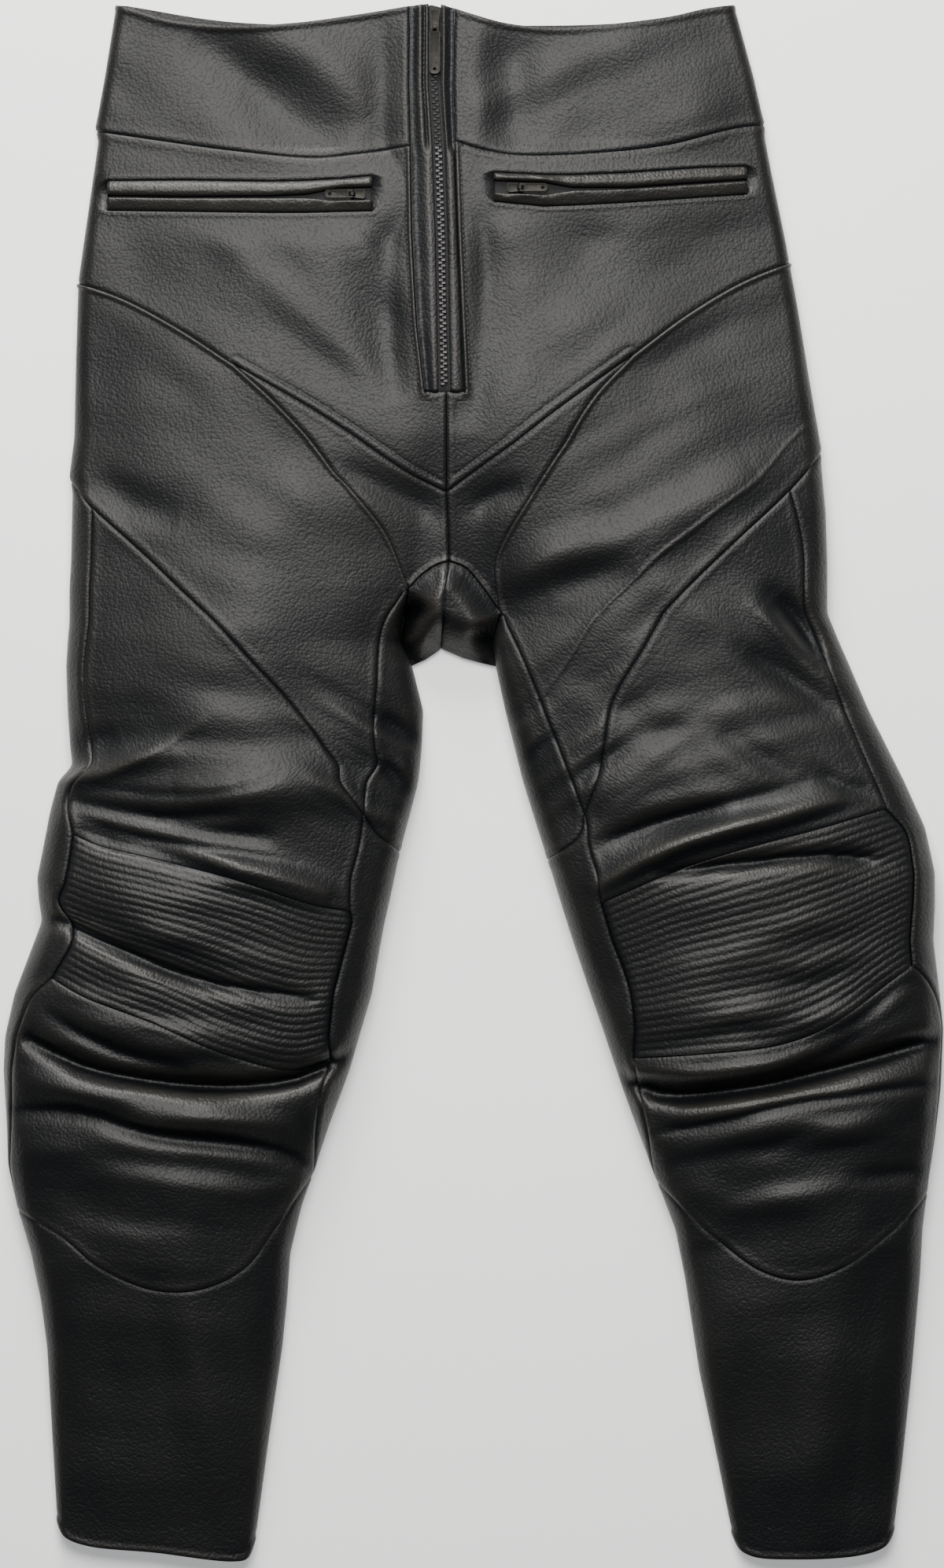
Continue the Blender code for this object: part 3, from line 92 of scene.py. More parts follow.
# ---- driving sizes
LENGTH = 971.0            # highest point of the waist to the lowest of the hems
LEATHER = 1.6             # wall thickness
HALF_GAP = 0.01           # each panel stops this far short of its seam
CLEAR = 0.3               # between a piece and what it lies on or under
BACK_BAND = 90.0          # depth of the waistband at the middle of the back
BACK_CENTRE = -20.0       # the back's middle seam
QUARTER = math.pi / 2
MM = 0.001                # a millimetre in the model's metres

FRONT_STEP = 2.2          # spacing of a front panel's points
BACK_STEP = 6.0           # and of the panels underneath
BACK_STARTS = 8.0         # and this far past the outer fold they are underneath
ROW_SHARE = 0.87          # rows are this share of a step apart
EDGE_LOOPS = (0.45, 1.2, 2.2, 3.4, 4.4, 5.2, 6.0)    # extra rows of points this far in from a seam
RIBBON = (-2.4, -1.2, 0.0, 1.2, 2.4)                 # and this far beside a sharp crease
SHARP = 2.0               # a crease narrower than this is sharp
SHARP_STEP = 1.3          # spacing of the points along it
SHARP_CLEAR = 3.4         # no other point is this near to it
FILL_CLEAR = 0.55         # share of a step between the rows beside a seam and the points within
BORDER_TRIM, LOOP_TRIM = 0.9, 0.86    # a point nearer to its seam than this share of its distance is dropped

RIB_COUNT = 22            # stitched ribs across each knee
RIB_ROWS = 7              # rows of points for each rib
KNEE_COLUMNS = 96
SLOT_HALF = 3.8           # half the opening between the fly welts
ON_V = 5.2                # a row of stitches lies this far from the V seam
TRUNK = "trousers"        # the body that everything but the pulls rides on


class Outline(NamedTuple):
    """One section across a side: where its two edges are seen from above."""
    down: float
    outer: float
    inner: float


class Height(NamedTuple):
    """One section's depth: height near the edge, added crown, edge roll width."""
    down: float
    edge: float
    crown: float
    roll: float


class FlyRow(NamedTuple):
    """The fly at one level: its two stitched edges and the zip between them."""
    down: float
    right: float
    zip: float
    left: float


class PocketRow(NamedTuple):
    """The pocket window at one place across: its lines, and the parted welts."""
    x: float
    top: float
    middle: float
    bottom: float
    gap: float


class Crease(NamedTuple):
    """A crease: its half width, its height (below 0 is a trough) and its line in plan."""
    width: float
    rise: float
    line: tuple


class Sweep(NamedTuple):
    """Long soft waves that run one way over a stretch of a side and fade past its reach."""
    x: float
    down: float
    reach: float
    heading: float            # degrees that the waves' crests turn from +x
    wavelength: float
    rise: float


def rows(kind: type, text: str) -> tuple:
    """A table of named rows, parted by ";"."""
    return tuple(kind(*map(float, row.split())) for row in text.split(";"))


def plan_line(text: str) -> Points:
    """A line in plan: x,down for each of its points."""
    return tuple(tuple(map(float, point.split(","))) for point in text.split())


def plan_lines(text: str) -> dict[str, Points]:
    """Lines by their names, parted by ";"."""
    return {name: plan_line(points) for name, points in (row.split(maxsplit=1) for row in text.split(";"))}


def crease_rows(text: str) -> tuple[Crease, ...]:
    """Creases parted by ";": half width, height and line."""
    return tuple(Crease(float(width), float(rise), plan_line(points))
                 for width, rise, points in (row.split(maxsplit=2) for row in text.split(";")))


OUTLINES = {
    "right": rows(Outline, """
        0 -223 -20; 44 -230 -20; 77 -236 -20; 84 -234 -20; 147 -243 -20; 172 -246.5 -20; 220 -248 -20; 270 -249 -17;
        294 -252 -17; 302 -250 -17; 348 -251 -17; 365 -252 -40; 386 -252 -44; 397 -253 -46; 413 -254 -38; 441 -253
        -31; 464 -251.5 -32; 475 -250 -33; 485 -259 -34; 504 -264 -39; 530 -269 -46; 545 -272 -49; 559 -271 -52; 572
        -269 -55; 588 -275 -58; 617 -286 -63; 644 -292 -71; 665 -293 -77; 700 -291 -90; 724 -290 -98; 750 -284.5
        -107; 779 -276 -114; 808 -270 -116; 838 -266 -119; 892 -263 -127; 944 -260 -134; 972 -259 -138
    """),
    "left": rows(Outline, """
        0 163 -20; 44 175 -20; 75 182 -20; 82 182 -20; 103 186 -20; 147 195 -20; 191 203 -20; 235 210 -20; 275 217
        -17; 285 217 -17; 317 220 -17; 348 221 -17; 380 221 17; 397 228 12.5; 413 235 14; 441 247 20; 485 269 31;
        514 282 40; 542 288 49; 562 288 55; 584 287 62; 617 291 73; 640 293 81; 676 291.5 93; 706 288 104; 735 284
        115; 764 280.5 126; 794 279 132; 853 274 141; 911 268 153; 951 263 161; 972 261 165
    """),
}
HEIGHTS = rows(Height, """
    0 12 6 7; 77 13 9 7; 150 15 13 8; 250 18 17 10; 350 22 18 12; 430 24 19 13; 500 25 22 13; 560 26 25 13; 640 26
    25 13; 700 24 21 12; 780 20 17 10; 860 16 12 9; 930 13 8 7; 972 12 6 6
""")

# Seams of each side, in plan. A seam that ends at an edge goes on round the fold.
SEAMS = {
    "right": plan_lines("""
        waist -223,0 -212,3 -190,9.5 -148,14 -110,12 -74,7 -39.5,1.5; band -235.5,79 -197,85 -148,92 -99,96 -74,94
        -39,89; hip_curve_outer -246.5,174 -221,183 -185,202 -148,226; hip_curve_inner -148,226 -123,249 -99,275
        -74,305 -54,331 -44,354 -40,365; v -148,226 -99,254 -50,287 -25,301 -16.5,305; gusset_top -15,348 -22,350
        -32,356.5 -40,365; diagonal_outer -250,298 -237,315; diagonal -237,315 -197,351 -148,399 -110,440 -84,474
        -68,506; side_thigh -237,315 -239,380 -242,432 -237,468 -252,495 -249,518; side_knee -249,518 -254,547
        -258,560 -249,582 -262,607; side_calf -262,607 -275,620 -286,655 -288,700 -283.5,752; inner_thigh -40,365
        -55,386 -59.5,420 -61,464 -68,506; inner_above_knee -68,506 -71,527 -76,566; inner_knee -76,566 -82,601
        -88,658; inner_calf -88,658 -95,682 -98,708 -100.5,731; inner_end -68,506 -57,520 -45.5,529; knee_top
        -249,518 -231,525 -197,533 -148,546 -99,562 -76,566; knee_bottom -262,607 -240,619 -197,635 -148,656
        -112,664 -88,658; cup -283.5,752 -258,767 -233,787 -200,801 -170,801 -143,789 -121,761 -100.5,731; hem
        -260,947 -254,957 -240,962 -197,966 -150,971.5 -141,970 -136.5,960
    """),
    "left": plan_lines("""
        waist 163,0 146,2.5 122,8 73,14 48,15 19,12 -1,6.5 -11.5,3; band 182,75 166,77 122,88 78,93 29,94.5 5,91
        -11.5,86; hip_curve_outer 198,161 171,172 135,193 99,220; hip_curve_inner 99,220 73,248 47,289 22,329
        13.5,349 14.5,366 17,380; v 99,220 48,257 4,290 -16.5,305; gusset_top -15,348 -5,352 4.5,362.5 17,380;
        diagonal_outer 217,280 197,304; diagonal 197,304 146,352 107,400 87,434 79,476 69,506; side_thigh 197,304
        205,338 206,370 220,412 248,481 257,502; side_knee 257,502 270,518 274,540 272,580 273,599; side_calf
        273,599 284,611 291,630 290.5,676 283,741; inner_thigh 17,380 25,396 44,441 57,474 69,506; inner_above_knee
        69,506 72,525 79,561; inner_knee 79,561 89,592 97,616 99,657; inner_calf 99,657 103,677 109,708 115,735;
        inner_end 69,506 63,522 46.5,534; knee_top 257,502 220,513 171,526 122,542 97,553 79,561; knee_bottom
        273,599 259,609 220,637 190,648 140,654 99,657; cup 283,741 262,764 234,785 205,795 180,790 150,769 115,735;
        hem 262.5,953 256,963 239,968 200,970 176,969 167,965 162.5,956
    """),
}
CENTRE_SEAM = plan_lines("""
    centre_upper -16.6,243 -16.5,272 -16.5,305; centre_lower -16.5,305 -15.5,330 -15,348; centre_gusset -15,348
    -18,366 -19,384 -20,402
""")
CROTCH = plan_lines("right -20,402 -30,409 -38,412.5; left -20,402 -6,408 5,411 14,413")
SEAT_SEAM = plan_lines("right -200,318 -120,362 -60,388 -20,401.7; left 165,304 90,352 30,385 -20,401.7")
WRAPS_OUTSIDE = {"waist", "band", "hip_curve_outer", "diagonal_outer", "cup", "hem"}
WRAPS_INSIDE = {"cup", "hem", "inner_end"}

FLY = rows(FlyRow, """
    0 -39.5 -24 -11.5; 50 -40 -24.3 -12.3; 88 -39 -21.8 -11.5; 145 -38 -19.8 -9.5; 200 -35 -18.8 -7; 243 -30 -18 -5
""")
FLY_BASE = FLY[-1].down    # the centre seam starts there
WAIST_OVER_FLY = plan_line("-39.5,1.5 -26,0 -16,1 -11.5,3")
POCKETS = {
    "right": rows(PocketRow, """
        -228 110 120 129 0.4; -180 110 121 130 0.4; -126 111 121 131 0.5; -104 110.5 120.5 131 1; -84 109.5 119.5
        130.5 3.9; -63 107.5 119 130 3.9
    """),
    "left": rows(PocketRow, """
        13 105.5 114.8 124 3.9; 44 107 116 127 3.9; 62 107 116 126.5 0.8; 96 105.5 115.5 124.5 0.4; 143 102 112 121
        0.4; 170.5 101 110 119 0.4
    """),
}

# The large folds, which the solids under these shells have too.
FOLDS = {
    "right": crease_rows("""
        7 -5 -249,498 -197,507 -150,505; 6 -4 -200,509 -172,515 -128,519; 8 4 -262,482 -225,477 -190,466; 6 5
        -219,520 -160,535 -95,555; 5 -5 -257,572 -220,589 -172,608 -102,620; 7 -5 -262,630 -221,652 -180,662; 6 -9
        -276,645 -245,661 -172,674 -110,670 -78,655; 8 5 -282,668 -240,679 -172,694 -116,699; 7 -6 -285,689 -245,691
        -197,704 -123,714 -102,724; 12 -3 -236,292 -211,312 -182,319; 9 -3 -251,455 -238,462 -220,456; 9 -3 -82,289
        -50,305 -25,318; 22 -2.5 -140,40 -110,55 -75,85; 7 -3 -58,445 -33,462; 7 -3 -55,470 -42,494; 14 -2.5 -72,160
        -62,200 -45,250
    """),
    "left": crease_rows("""
        8 -5 81,524 110,512 150,502; 7 5 78,549 120,526 186,507 221,497; 5 -5 118,542 165,536 219,531 244,533; 8 -4
        197,661 225,649 258,619; 7 -10 95,670 116,679 170,675 221,664 289,645; 8 5 105,689 150,694 204,684 289,674;
        5 -3 108,703 151,696 204,684 289,672; 6 -3 239,731 282,727; 16 4 24,356 78,341 120,324 175,292; 12 -3 48,363
        78,356 102,351; 9 -6 188,370 202,385 215,408; 8 4 176,378 198,398 220,422; 8 -4 168,404 195,420 221,439; 9
        -3 151,454 175,468 200,483; 8 -3 0,315 16,306 31,302; 14 -2.5 8,140 14,200 0,270
    """),
}

# The smaller creases, only in the shells.
CREASES = {
    "right": crease_rows("""
        2.6 -1.6 -246,507 -205,520 -150,528 -110,536; 3 -1.2 -234,488 -190,494 -150,490 -120,480; 4 0.8 -228,1
        -170,14 -60,6; 4 1.6 -262,484 -229,479 -200,466 -168,449; 14 2 -144,488 -112,479 -80,468; 12 -3.2 -57,20
        -55,120 -49,235; 5 -2.8 -272,648 -245,661 -172,674 -110,670 -84,658; 10 -3.6 -255,564 -220,581 -172,600
        -104,613; 12 -3.4 -276,637 -245,652 -172,665 -110,661; 5 2.6 -168,545 -130,552 -98,560; 6 -2.2 -205,520
        -160,528 -128,535; 8 -3 -250,512 -215,516 -178,525; 7 -8 -240,518 -200,527 -156,539; 7 4.2 -158,532 -122,541
        -86,554; 15 6 -185,497 -140,493 -80,490; 17 -4.8 -176,20 -132,57 -90,95; 17 3.4 -150,4 -100,34 -64,70
    """),
    "left": crease_rows("""
        1 0.9 212,259 194,276 178,295 132,331 112,348 93,366 74,385 61,406 50,422 37,436 24,446; 5 -2.6 90,521
        140,504 190,491 220,484; 4 1.8 80,546 120,525 186,506 238,495; 7 -2.2 222,531 244,533 262,535; 17 -3.6 20,10
        24,60 20,100; 7 -2.2 100,692 130,697 165,695; 6 -2.6 213,480 230,487 246,491; 9 -2.4 3,95 4,170 -2,240; 4.5
        3.2 97,665 150,664 200,655 240,638 268,616; 8 -4 96,676 130,681 190,677 250,664 285,653; 9 -4.6 105,688
        150,693 204,684 289,672; 5 2.4 80,548 120,528 186,509 224,498; 5 -3.4 97,669 118,678 170,675 221,664
        285,646; 2.6 -1.6 112,704 151,697 204,685 286,673; 6 1.6 108,716 150,710 204,700 280,690
    """),
}

SWEEPS = {
    "right": rows(Sweep, """
        -170 60 80 32 20 0.25; -110 190 90 40 18 0.3; -190 250 80 12 24 0.35; -120 340 80 24 22 0.3; -200 420 90 5
        22 0.45; -190 485 60 2 14 0.4; -190 660 90 8 12 0.8; -190 715 80 5 17 0.7; -190 860 110 82 26 0.9; -50 470
        50 30 9 0.6
    """),
    "left": rows(Sweep, """
        90 50 95 -25 20 0.3; 60 190 90 -35 18 0.3; 150 240 80 -25 18 0.4; 70 340 80 -30 17 0.5; 150 420 90 35 18
        0.35; 160 485 60 -14 12 0.4; 190 665 90 -10 12 0.8; 190 715 80 -8 17 0.7; 215 860 110 98 26 0.9; 60 470 50
        -35 9 0.6
    """),
}


# ---- small mathematics
LEVELS = np.arange(-20.0, LENGTH + 20.0, 1.0)
EASE = 9                  # rows of a section table are eased over this length


def column(table: Sequence[NamedTuple], name: str, places: Array | float, by: str = "down") -> Array:
    """A column of a table at any place along it."""
    return np.interp(places, [getattr(row, by) for row in table], [getattr(row, name) for row in table])


def eased(table: Sequence[NamedTuple], name: str) -> Array:
    """A column at each of LEVELS, its corners eased."""
    window = np.hanning(EASE + 2)[1:-1]
    return np.convolve(np.pad(column(table, name, LEVELS), EASE // 2, mode="edge"), window / window.sum(), mode="valid")


def at(values: Array, down: Array | float) -> Array:
    """An eased column at any level."""
    return np.interp(down, LEVELS, values)


def smoothstep(low: float, high: float, value: Array | float) -> Array:
    """0 below low, 1 above high, and a smooth rise between them."""
    t = np.clip((value - low) / (high - low), 0.0, 1.0)
    return t * t * (3.0 - 2.0 * t)


def hump(value: Array, middle: float, half: float) -> Array:
    """A round hump of height 1 about a middle."""
    return np.exp(-((value - middle) / half) ** 2)


def unit(vectors: Array) -> Array:
    """Rows of vectors, each made 1 long."""
    return vectors / np.linalg.norm(vectors, axis=1, keepdims=True)


def reached(line: Array) -> Array:
    """How far along a line each of its points is."""
    return np.concatenate([[0.0], np.cumsum(np.linalg.norm(np.diff(line, axis=0), axis=1))])


def nearest(line: Points | Array, x: Array, down: Array) -> tuple[Array, Array]:
    """The place on a line that is nearest to each point.

    Args:
        line: The line's points, in plan.
        x: Across, of each point.
        down: Down, of each point.

    Returns:
        The distance to it, and how far along the line it is, 0 to 1.
    """
    points = np.asarray(line, float)
    stops = reached(points)
    best, along = np.full(np.shape(x), 1e9), np.zeros(np.shape(x))
    for a, b, start, end in zip(points[:-1], points[1:], stops[:-1], stops[1:]):
        run, length = b - a, max(end - start, 1e-6)
        t = np.clip(((x - a[0]) * run[0] + (down - a[1]) * run[1]) / length ** 2, 0, 1)
        away = np.hypot(x - a[0] - t * run[0], down - a[1] - t * run[1])
        nearer = away < best
        best = np.where(nearer, away, best)
        along = np.where(nearer, (start + t * length) / stops[-1], along)
    return best, along


def distance(line: Points | Array, points: Array) -> Array:
    """Distance from each point to a line."""
    return nearest(line, *points.T)[0]


def wander(x: Array, y: Array, wavelength: float, seed: int) -> Array:
    """Smooth unevenness between -1 and 1, the same on every run.

    Args:
        x: First coordinate, millimetres.
        y: Second coordinate, millimetres.
        wavelength: Size of its hills, millimetres.
        seed: Picks one pattern.

    Returns:
        One value for each point.
    """
    grid = [np.asarray(values) / wavelength for values in (x, y)]
    cell = [np.floor(values).astype(np.int64) for values in grid]
    u, v = (smoothstep(0.0, 1.0, values - floor) for values, floor in zip(grid, cell))

    def corner(step_x: int, step_y: int) -> Array:
        """The value at one corner of each point's cell."""
        mixed = ((cell[0] + step_x) * 374761393 + (cell[1] + step_y) * 668265263 + seed * 362437) & 0x7FFFFFFF
        mixed = ((mixed ^ (mixed >> 13)) * 1274126177) & 0x7FFFFFFF
        return ((mixed ^ (mixed >> 16)) & 0xFFFF) / 32767.5 - 1.0

    near, far = (corner(0, step) * (1 - u) + corner(1, step) * u for step in (0, 1))
    return near * (1 - v) + far * v


def smooth_curve(points: Points | Array, step: float = 1.0) -> Array:
    """A curve through the points, as a fine line (centripetal Catmull-Rom).

    Args:
        points: The points that the curve passes.
        step: Spacing of the fine line.

    Returns:
        The fine line, one row for each point.
    """
    points = np.asarray(points, float)
    if len(points) == 2:
        count = max(2, int(np.linalg.norm(points[1] - points[0]) / step) + 1)
        return points[0] + (points[1] - points[0]) * np.linspace(0, 1, count)[:, None]
    ends = np.vstack([2 * points[0] - points[1], points, 2 * points[-1] - points[-2]])
    fine = []
    for p0, p1, p2, p3 in zip(ends[:-3], ends[1:-2], ends[2:-1], ends[3:]):
        k0, k1, k2 = (max(np.linalg.norm(b - a), 1e-6) ** 0.5 for a, b in ((p0, p1), (p1, p2), (p2, p3)))
        m1 = k1 * ((p1 - p0) / k0 - (p2 - p0) / (k0 + k1) + (p2 - p1) / k1)
        m2 = k1 * ((p2 - p1) / k1 - (p3 - p1) / (k1 + k2) + (p3 - p2) / k2)
        t = np.linspace(0, 1, max(3, int(np.linalg.norm(p2 - p1) / step) + 1))[:-1, None]
        fine.append((2 * t ** 3 - 3 * t ** 2 + 1) * p1 + (t ** 3 - 2 * t ** 2 + t) * m1
                    + (3 * t ** 2 - 2 * t ** 3) * p2 + (t ** 3 - t ** 2) * m2)
    return np.vstack(fine + [points[-1:]])


def pressed(crease: Crease, x: Array, down: Array, ease: float) -> Array:
    """How strongly a crease acts.

    Args:
        crease: The crease.
        x: Across, of each point.
        down: Down, of each point.
        ease: Below 1, it keeps its strength nearer to its ends.

    Returns:
        For each point 1 on the crease's line, fading to its sides and ends.
    """
    x, down = np.broadcast_arrays(x, down)
    line, reach = np.asarray(crease.line), 2.6 * crease.width
    (left, high), (right, low) = line.min(axis=0) - reach, line.max(axis=0) + reach
    near = (x > left) & (x < right) & (down > high) & (down < low)
    strength = np.zeros(x.shape)
    if near.any():
        away, along = nearest(crease.line, x[near], down[near])
        strength[near] = np.sin(np.pi * (along * 0.92 + 0.04)) ** ease * hump(away, 0.0, crease.width)
    return strength


# ---- the garment's form
EDGE, CROWN, ROLL = (eased(HEIGHTS, name) for name in ("edge", "crown", "roll"))
CENTRE_X = np.interp(LEVELS, *np.array(sum(CENTRE_SEAM.values(), ((-20, 0),)), float).T[::-1])


class SideForm:
    """One side of the trousers, hip and leg, as a ring of leather."""

    LEGS_PART = 225.0         # the hips' one crown starts to part into two here
    LEGS_APART = 405.0        # and has parted here
    INNER_GROWS = 60.0        # length over which the inner fold widens below the crotch
    INNER_START = 6.0         # its width there
    INNER_SINKS = 22.0        # length over which it comes down to the floor
    SHELF_ENDS = (10.0, 26.0)         # past the crotch, the inner fold leaves the back panel under it
    SOFT_CROWN = 0.09         # rounds the top of the leg where the gusset starts
    SOFT_ENDS = (345, 372)    # and fades between these levels
    SHIFT = 2.2               # how far the creases stray
    DEEP = -4                 # a fold deeper than this has a sharper trough in it
    SWEEP_STRETCH = 4.5       # soft waves are this much longer than they are wide
    CALM_ENDS = (11.0, 34.0)  # the creases come in between these distances from a zip

    def __init__(self, name: str) -> None:
        """Works out the columns of one side, "right" or "left"."""
        self.name = name
        self.sign, self.seed = (1.0, 11) if name == "right" else (-1.0, 47)
        self.outer, self.inner = (eased(OUTLINES[name], edge) for edge in ("outer", "inner"))
        self.crotch = SEAMS[name]["gusset_top"][-1][1]
        grown = smoothstep(self.crotch, self.crotch + self.INNER_GROWS, LEVELS)
        self.inner_roll = np.where(LEVELS <= self.crotch, 0.0, self.INNER_START + (ROLL - self.INNER_START) * grown)
        self.inner_depth = smoothstep(self.crotch, self.crotch + self.INNER_SINKS, LEVELS)
        low, high = (CROTCH[name][-1][1] + end for end in self.SHELF_ENDS)
        self.shelf = (LEATHER + 2 * CLEAR) * (1 - smoothstep(low, high, LEVELS))
        self.edge_mean = (ROLL + EDGE / 2) / 2
        self.inner_mean = np.where(self.inner_roll > 0, (self.inner_roll + EDGE / 2) / 2, 0.0)
        width = np.abs(self.inner - self.outer)
        self.girth = width - ROLL - self.inner_roll + QUARTER * (self.edge_mean + self.inner_mean)
        hip_inner = np.interp(LEVELS, [200.0, self.crotch], [-17.0, float(at(self.inner, self.crotch))])
        self.leg_inner = np.where(LEVELS < self.crotch, hip_inner, self.inner)
        self.folds, self.fine_creases = (
            [crease._replace(line=smooth_curve(crease.line, 13.0)) for crease in table[name]]
            for table in (FOLDS, CREASES))

    def creases(self, x: Array, down: Array) -> Array:
        """Height that the folds, creases and soft waves add.

        Args:
            x: Across, of each point.
            down: Down, of each point.

        Returns:
            Millimetres to add to each point's height.
        """
        folded, rise = np.zeros(np.shape(x)), np.zeros(np.shape(x))
        shift = self.SHIFT * wander(x, down, 23.0, self.seed)
        for crease in self.folds:
            folded = folded + crease.rise * pressed(crease, x, down, 0.5)
            if crease.rise < self.DEEP:
                core = crease._replace(width=0.5 * crease.width)
                rise = rise + 0.22 * crease.rise * pressed(core, x, down, 0.5)
        for crease in self.fine_creases:
            rise = rise + crease.rise * pressed(crease, x, down + 0.5 * shift, 0.6)
        for number, sweep in enumerate(SWEEPS[self.name]):
            near = np.exp(-((x - sweep.x) ** 2 + (down - sweep.down) ** 2) / sweep.reach ** 2)
            turn = math.radians(sweep.heading)
            along = (x * math.cos(turn) + down * math.sin(turn)) / self.SWEEP_STRETCH
            across = down * math.cos(turn) - x * math.sin(turn) + shift
            rise = rise + sweep.rise * near * 4.0 * wander(along, across, sweep.wavelength, self.seed + number)
        rise = rise + 1.0 * wander(x, down, 34.0, self.seed + 5) + 1.9 * wander(x, down, 75.0, self.seed + 6)
        return folded + rise * self.calm(x, down)

    def calm(self, x: Array, down: Array) -> Array:
        """0 beside the zips, whose metal keeps the leather flat, and 1 away from them."""
        zips = [(row.zip, row.down) for row in FLY], [(row.x, row.middle) for row in POCKETS[self.name]]
        return smoothstep(*self.CALM_ENDS, np.min([nearest(line, x, down)[0] for line in zips], axis=0))

    def top(self, x: Array, down: Array, creased: bool = True) -> Array:
        """Height of the front over the floor, away from the folded edges.

        Args:
            x: Across, of each point.
            down: Down, of each point.
            creased: Whether the folds and creases are in it.

        Returns:
            Heights in millimetres.
        """
        outer = at(self.outer, down)
        hip = np.clip((x - outer) / (at(CENTRE_X, down) - outer), 0, 1)
        leg = np.clip((x - outer) / (at(self.leg_inner, down) - outer), 0, 1.6)
        parted = smoothstep(self.LEGS_PART, self.LEGS_APART, down)
        ease = self.SOFT_CROWN * (1 - smoothstep(*self.SOFT_ENDS, down)) * smoothstep(0.5, 0.8, leg)
        parabola = 4 * leg * (1 - leg)
        leg_crown = np.clip((parabola + np.hypot(parabola, ease)) / 2, 0, 1) ** 0.8
        height = at(EDGE, down) + at(CROWN, down) * ((1 - parted) * (1 - (1 - hip) ** 2.2) + parted * leg_crown)
        return height + self.creases(x, down) if creased else height

    def girth_at(self, x: Array, down: Array) -> Array:
        """The girth of points of the front.

        Args:
            x: Across, of each point.
            down: Down, of each point.

        Returns:
            Their distances round the ring.
        """
        roll, mean = at(ROLL, down), at(self.edge_mean, down)
        inner_roll, inner_mean = at(self.inner_roll, down), at(self.inner_mean, down)
        off, left = self.sign * (x - at(self.outer, down)), self.sign * (at(self.inner, down) - x)
        on_fold = mean * np.arccos(np.clip(1 - off / roll, -1, 1))
        share = np.clip(1 - left / np.maximum(inner_roll, 1e-6), -1, 1)
        on_inner = at(self.girth, down) - inner_mean * np.arccos(share)
        return np.where((inner_roll > 0) & (left < inner_roll), on_inner,
                        np.where(off < roll, on_fold, QUARTER * mean + off - roll))

    def floor_girth(self, x: Array, down: Array) -> Array:
        """The girth of a point underneath at x."""
        off = self.sign * (x - at(self.outer, down))
        return -(QUARTER * at(self.edge_mean, down) + off - at(ROLL, down))

    def under_outer(self, down: Array) -> Array:
        """Girth where the outer fold comes down to the floor."""
        return -QUARTER * at(self.edge_mean, down)

    def under_inner(self, down: Array) -> Array:
        """Girth where the inner fold comes down to the floor."""
        return at(self.girth, down) + QUARTER * at(self.inner_mean, down)

    def point(self, girth: Array, down: Array, creased: bool = True) -> Array:
        """Points of the leather's outer face.

        Args:
            girth: Distance round the ring, of each point.
            down: Down, of each point.
            creased: Whether the folds and creases are in it.

        Returns:
            One row of x, down and height for each point, in millimetres.
        """
        def folded(gone: Array, roll: Array, mean: Array) -> tuple[Array, Array]:
            """The angle round a fold and the distance in from its edge, so far past that edge."""
            angle = np.clip(gone / mean, -QUARTER, QUARTER)
            return angle, roll * (1 - np.cos(angle)) + np.abs(gone - angle * mean)

        inner_mean = np.maximum(at(self.inner_mean, down), 1e-6)
        left = at(self.girth, down) - girth
        angle, off = folded(girth, at(ROLL, down), at(self.edge_mean, down))
        inner_angle, inner_off = folded(left, at(self.inner_roll, down), inner_mean)
        on_inner = (at(self.inner_roll, down) > 0) & (left < QUARTER * inner_mean)
        x = np.where(on_inner, at(self.inner, down) - self.sign * inner_off, at(self.outer, down) + self.sign * off)
        lift = np.where(on_inner, 1 - at(self.inner_depth, down) * (1 - np.sin(inner_angle)) / 2,
                        (1 + np.sin(angle)) / 2)
        shelf = np.where(on_inner, at(self.shelf, down), 0.0)
        return np.stack([x, down, shelf + (self.top(x, down, creased) - shelf) * lift], axis=-1)


SIDES = {name: SideForm(name) for name in ("right", "left")}


class PlanForm:
    """The front seen straight from above, for what lies near the centre."""

    name = "plan"
    sign = 1.0

    def point(self, x: Array, down: Array, creased: bool = True) -> Array:
        """Points of the front's outer face, as SideForm.point gives them."""
        right, left = (side.top(x, down, creased) for side in SIDES.values())
        return np.stack([x, down, np.where(x < at(CENTRE_X, down), right, left)], axis=-1)


class GussetForm(PlanForm):
    """The gusset: it leaves the front at its top seam and dips to the floor."""

    LOW = LEATHER + CLEAR + LEATHER + 0.3     # over the back panel under it
    FLANK = 21.0              # width of the slope down into the hollow beside a thigh
    TOE = 24.0                # length of the slope down to the crotch edge
    PUFF = 9.0                # it stands up between its seams
    PUFF_LENGTH = 18.0        # over this length
    DEEP_AFTER = 17.0         # the hollow's rounded top is this long

    def __init__(self, name: str) -> None:
        """Takes the side that this half of the gusset belongs to."""
        self.side = SIDES[name]

    def point(self, x: Array, down: Array, creased: bool = True) -> Array:
        """Points of the gusset's outer face, as SideForm.point gives them."""
        front = super().point(x, down, creased)
        beside = self.side.sign * (x - at(self.side.inner, down))
        above = np.clip(1 - (down - self.side.crotch) / self.DEEP_AFTER, 0, 1)
        flank = np.sin(QUARTER * np.clip(np.hypot(np.clip(beside / self.FLANK, 0, 1), above), 0, 1)) ** 1.3
        toe = np.sin(QUARTER * np.clip(nearest(CROTCH[self.side.name], x, down)[0] / self.TOE, 0, 1))
        top_away = nearest(SEAMS[self.side.name]["gusset_top"], x, down)[0]
        puff = self.PUFF * smoothstep(0, self.PUFF_LENGTH, top_away)
        return np.stack([x, down, self.LOW + (front[..., 2] + puff - self.LOW) * flank * toe], axis=-1)


Form = SideForm | PlanForm


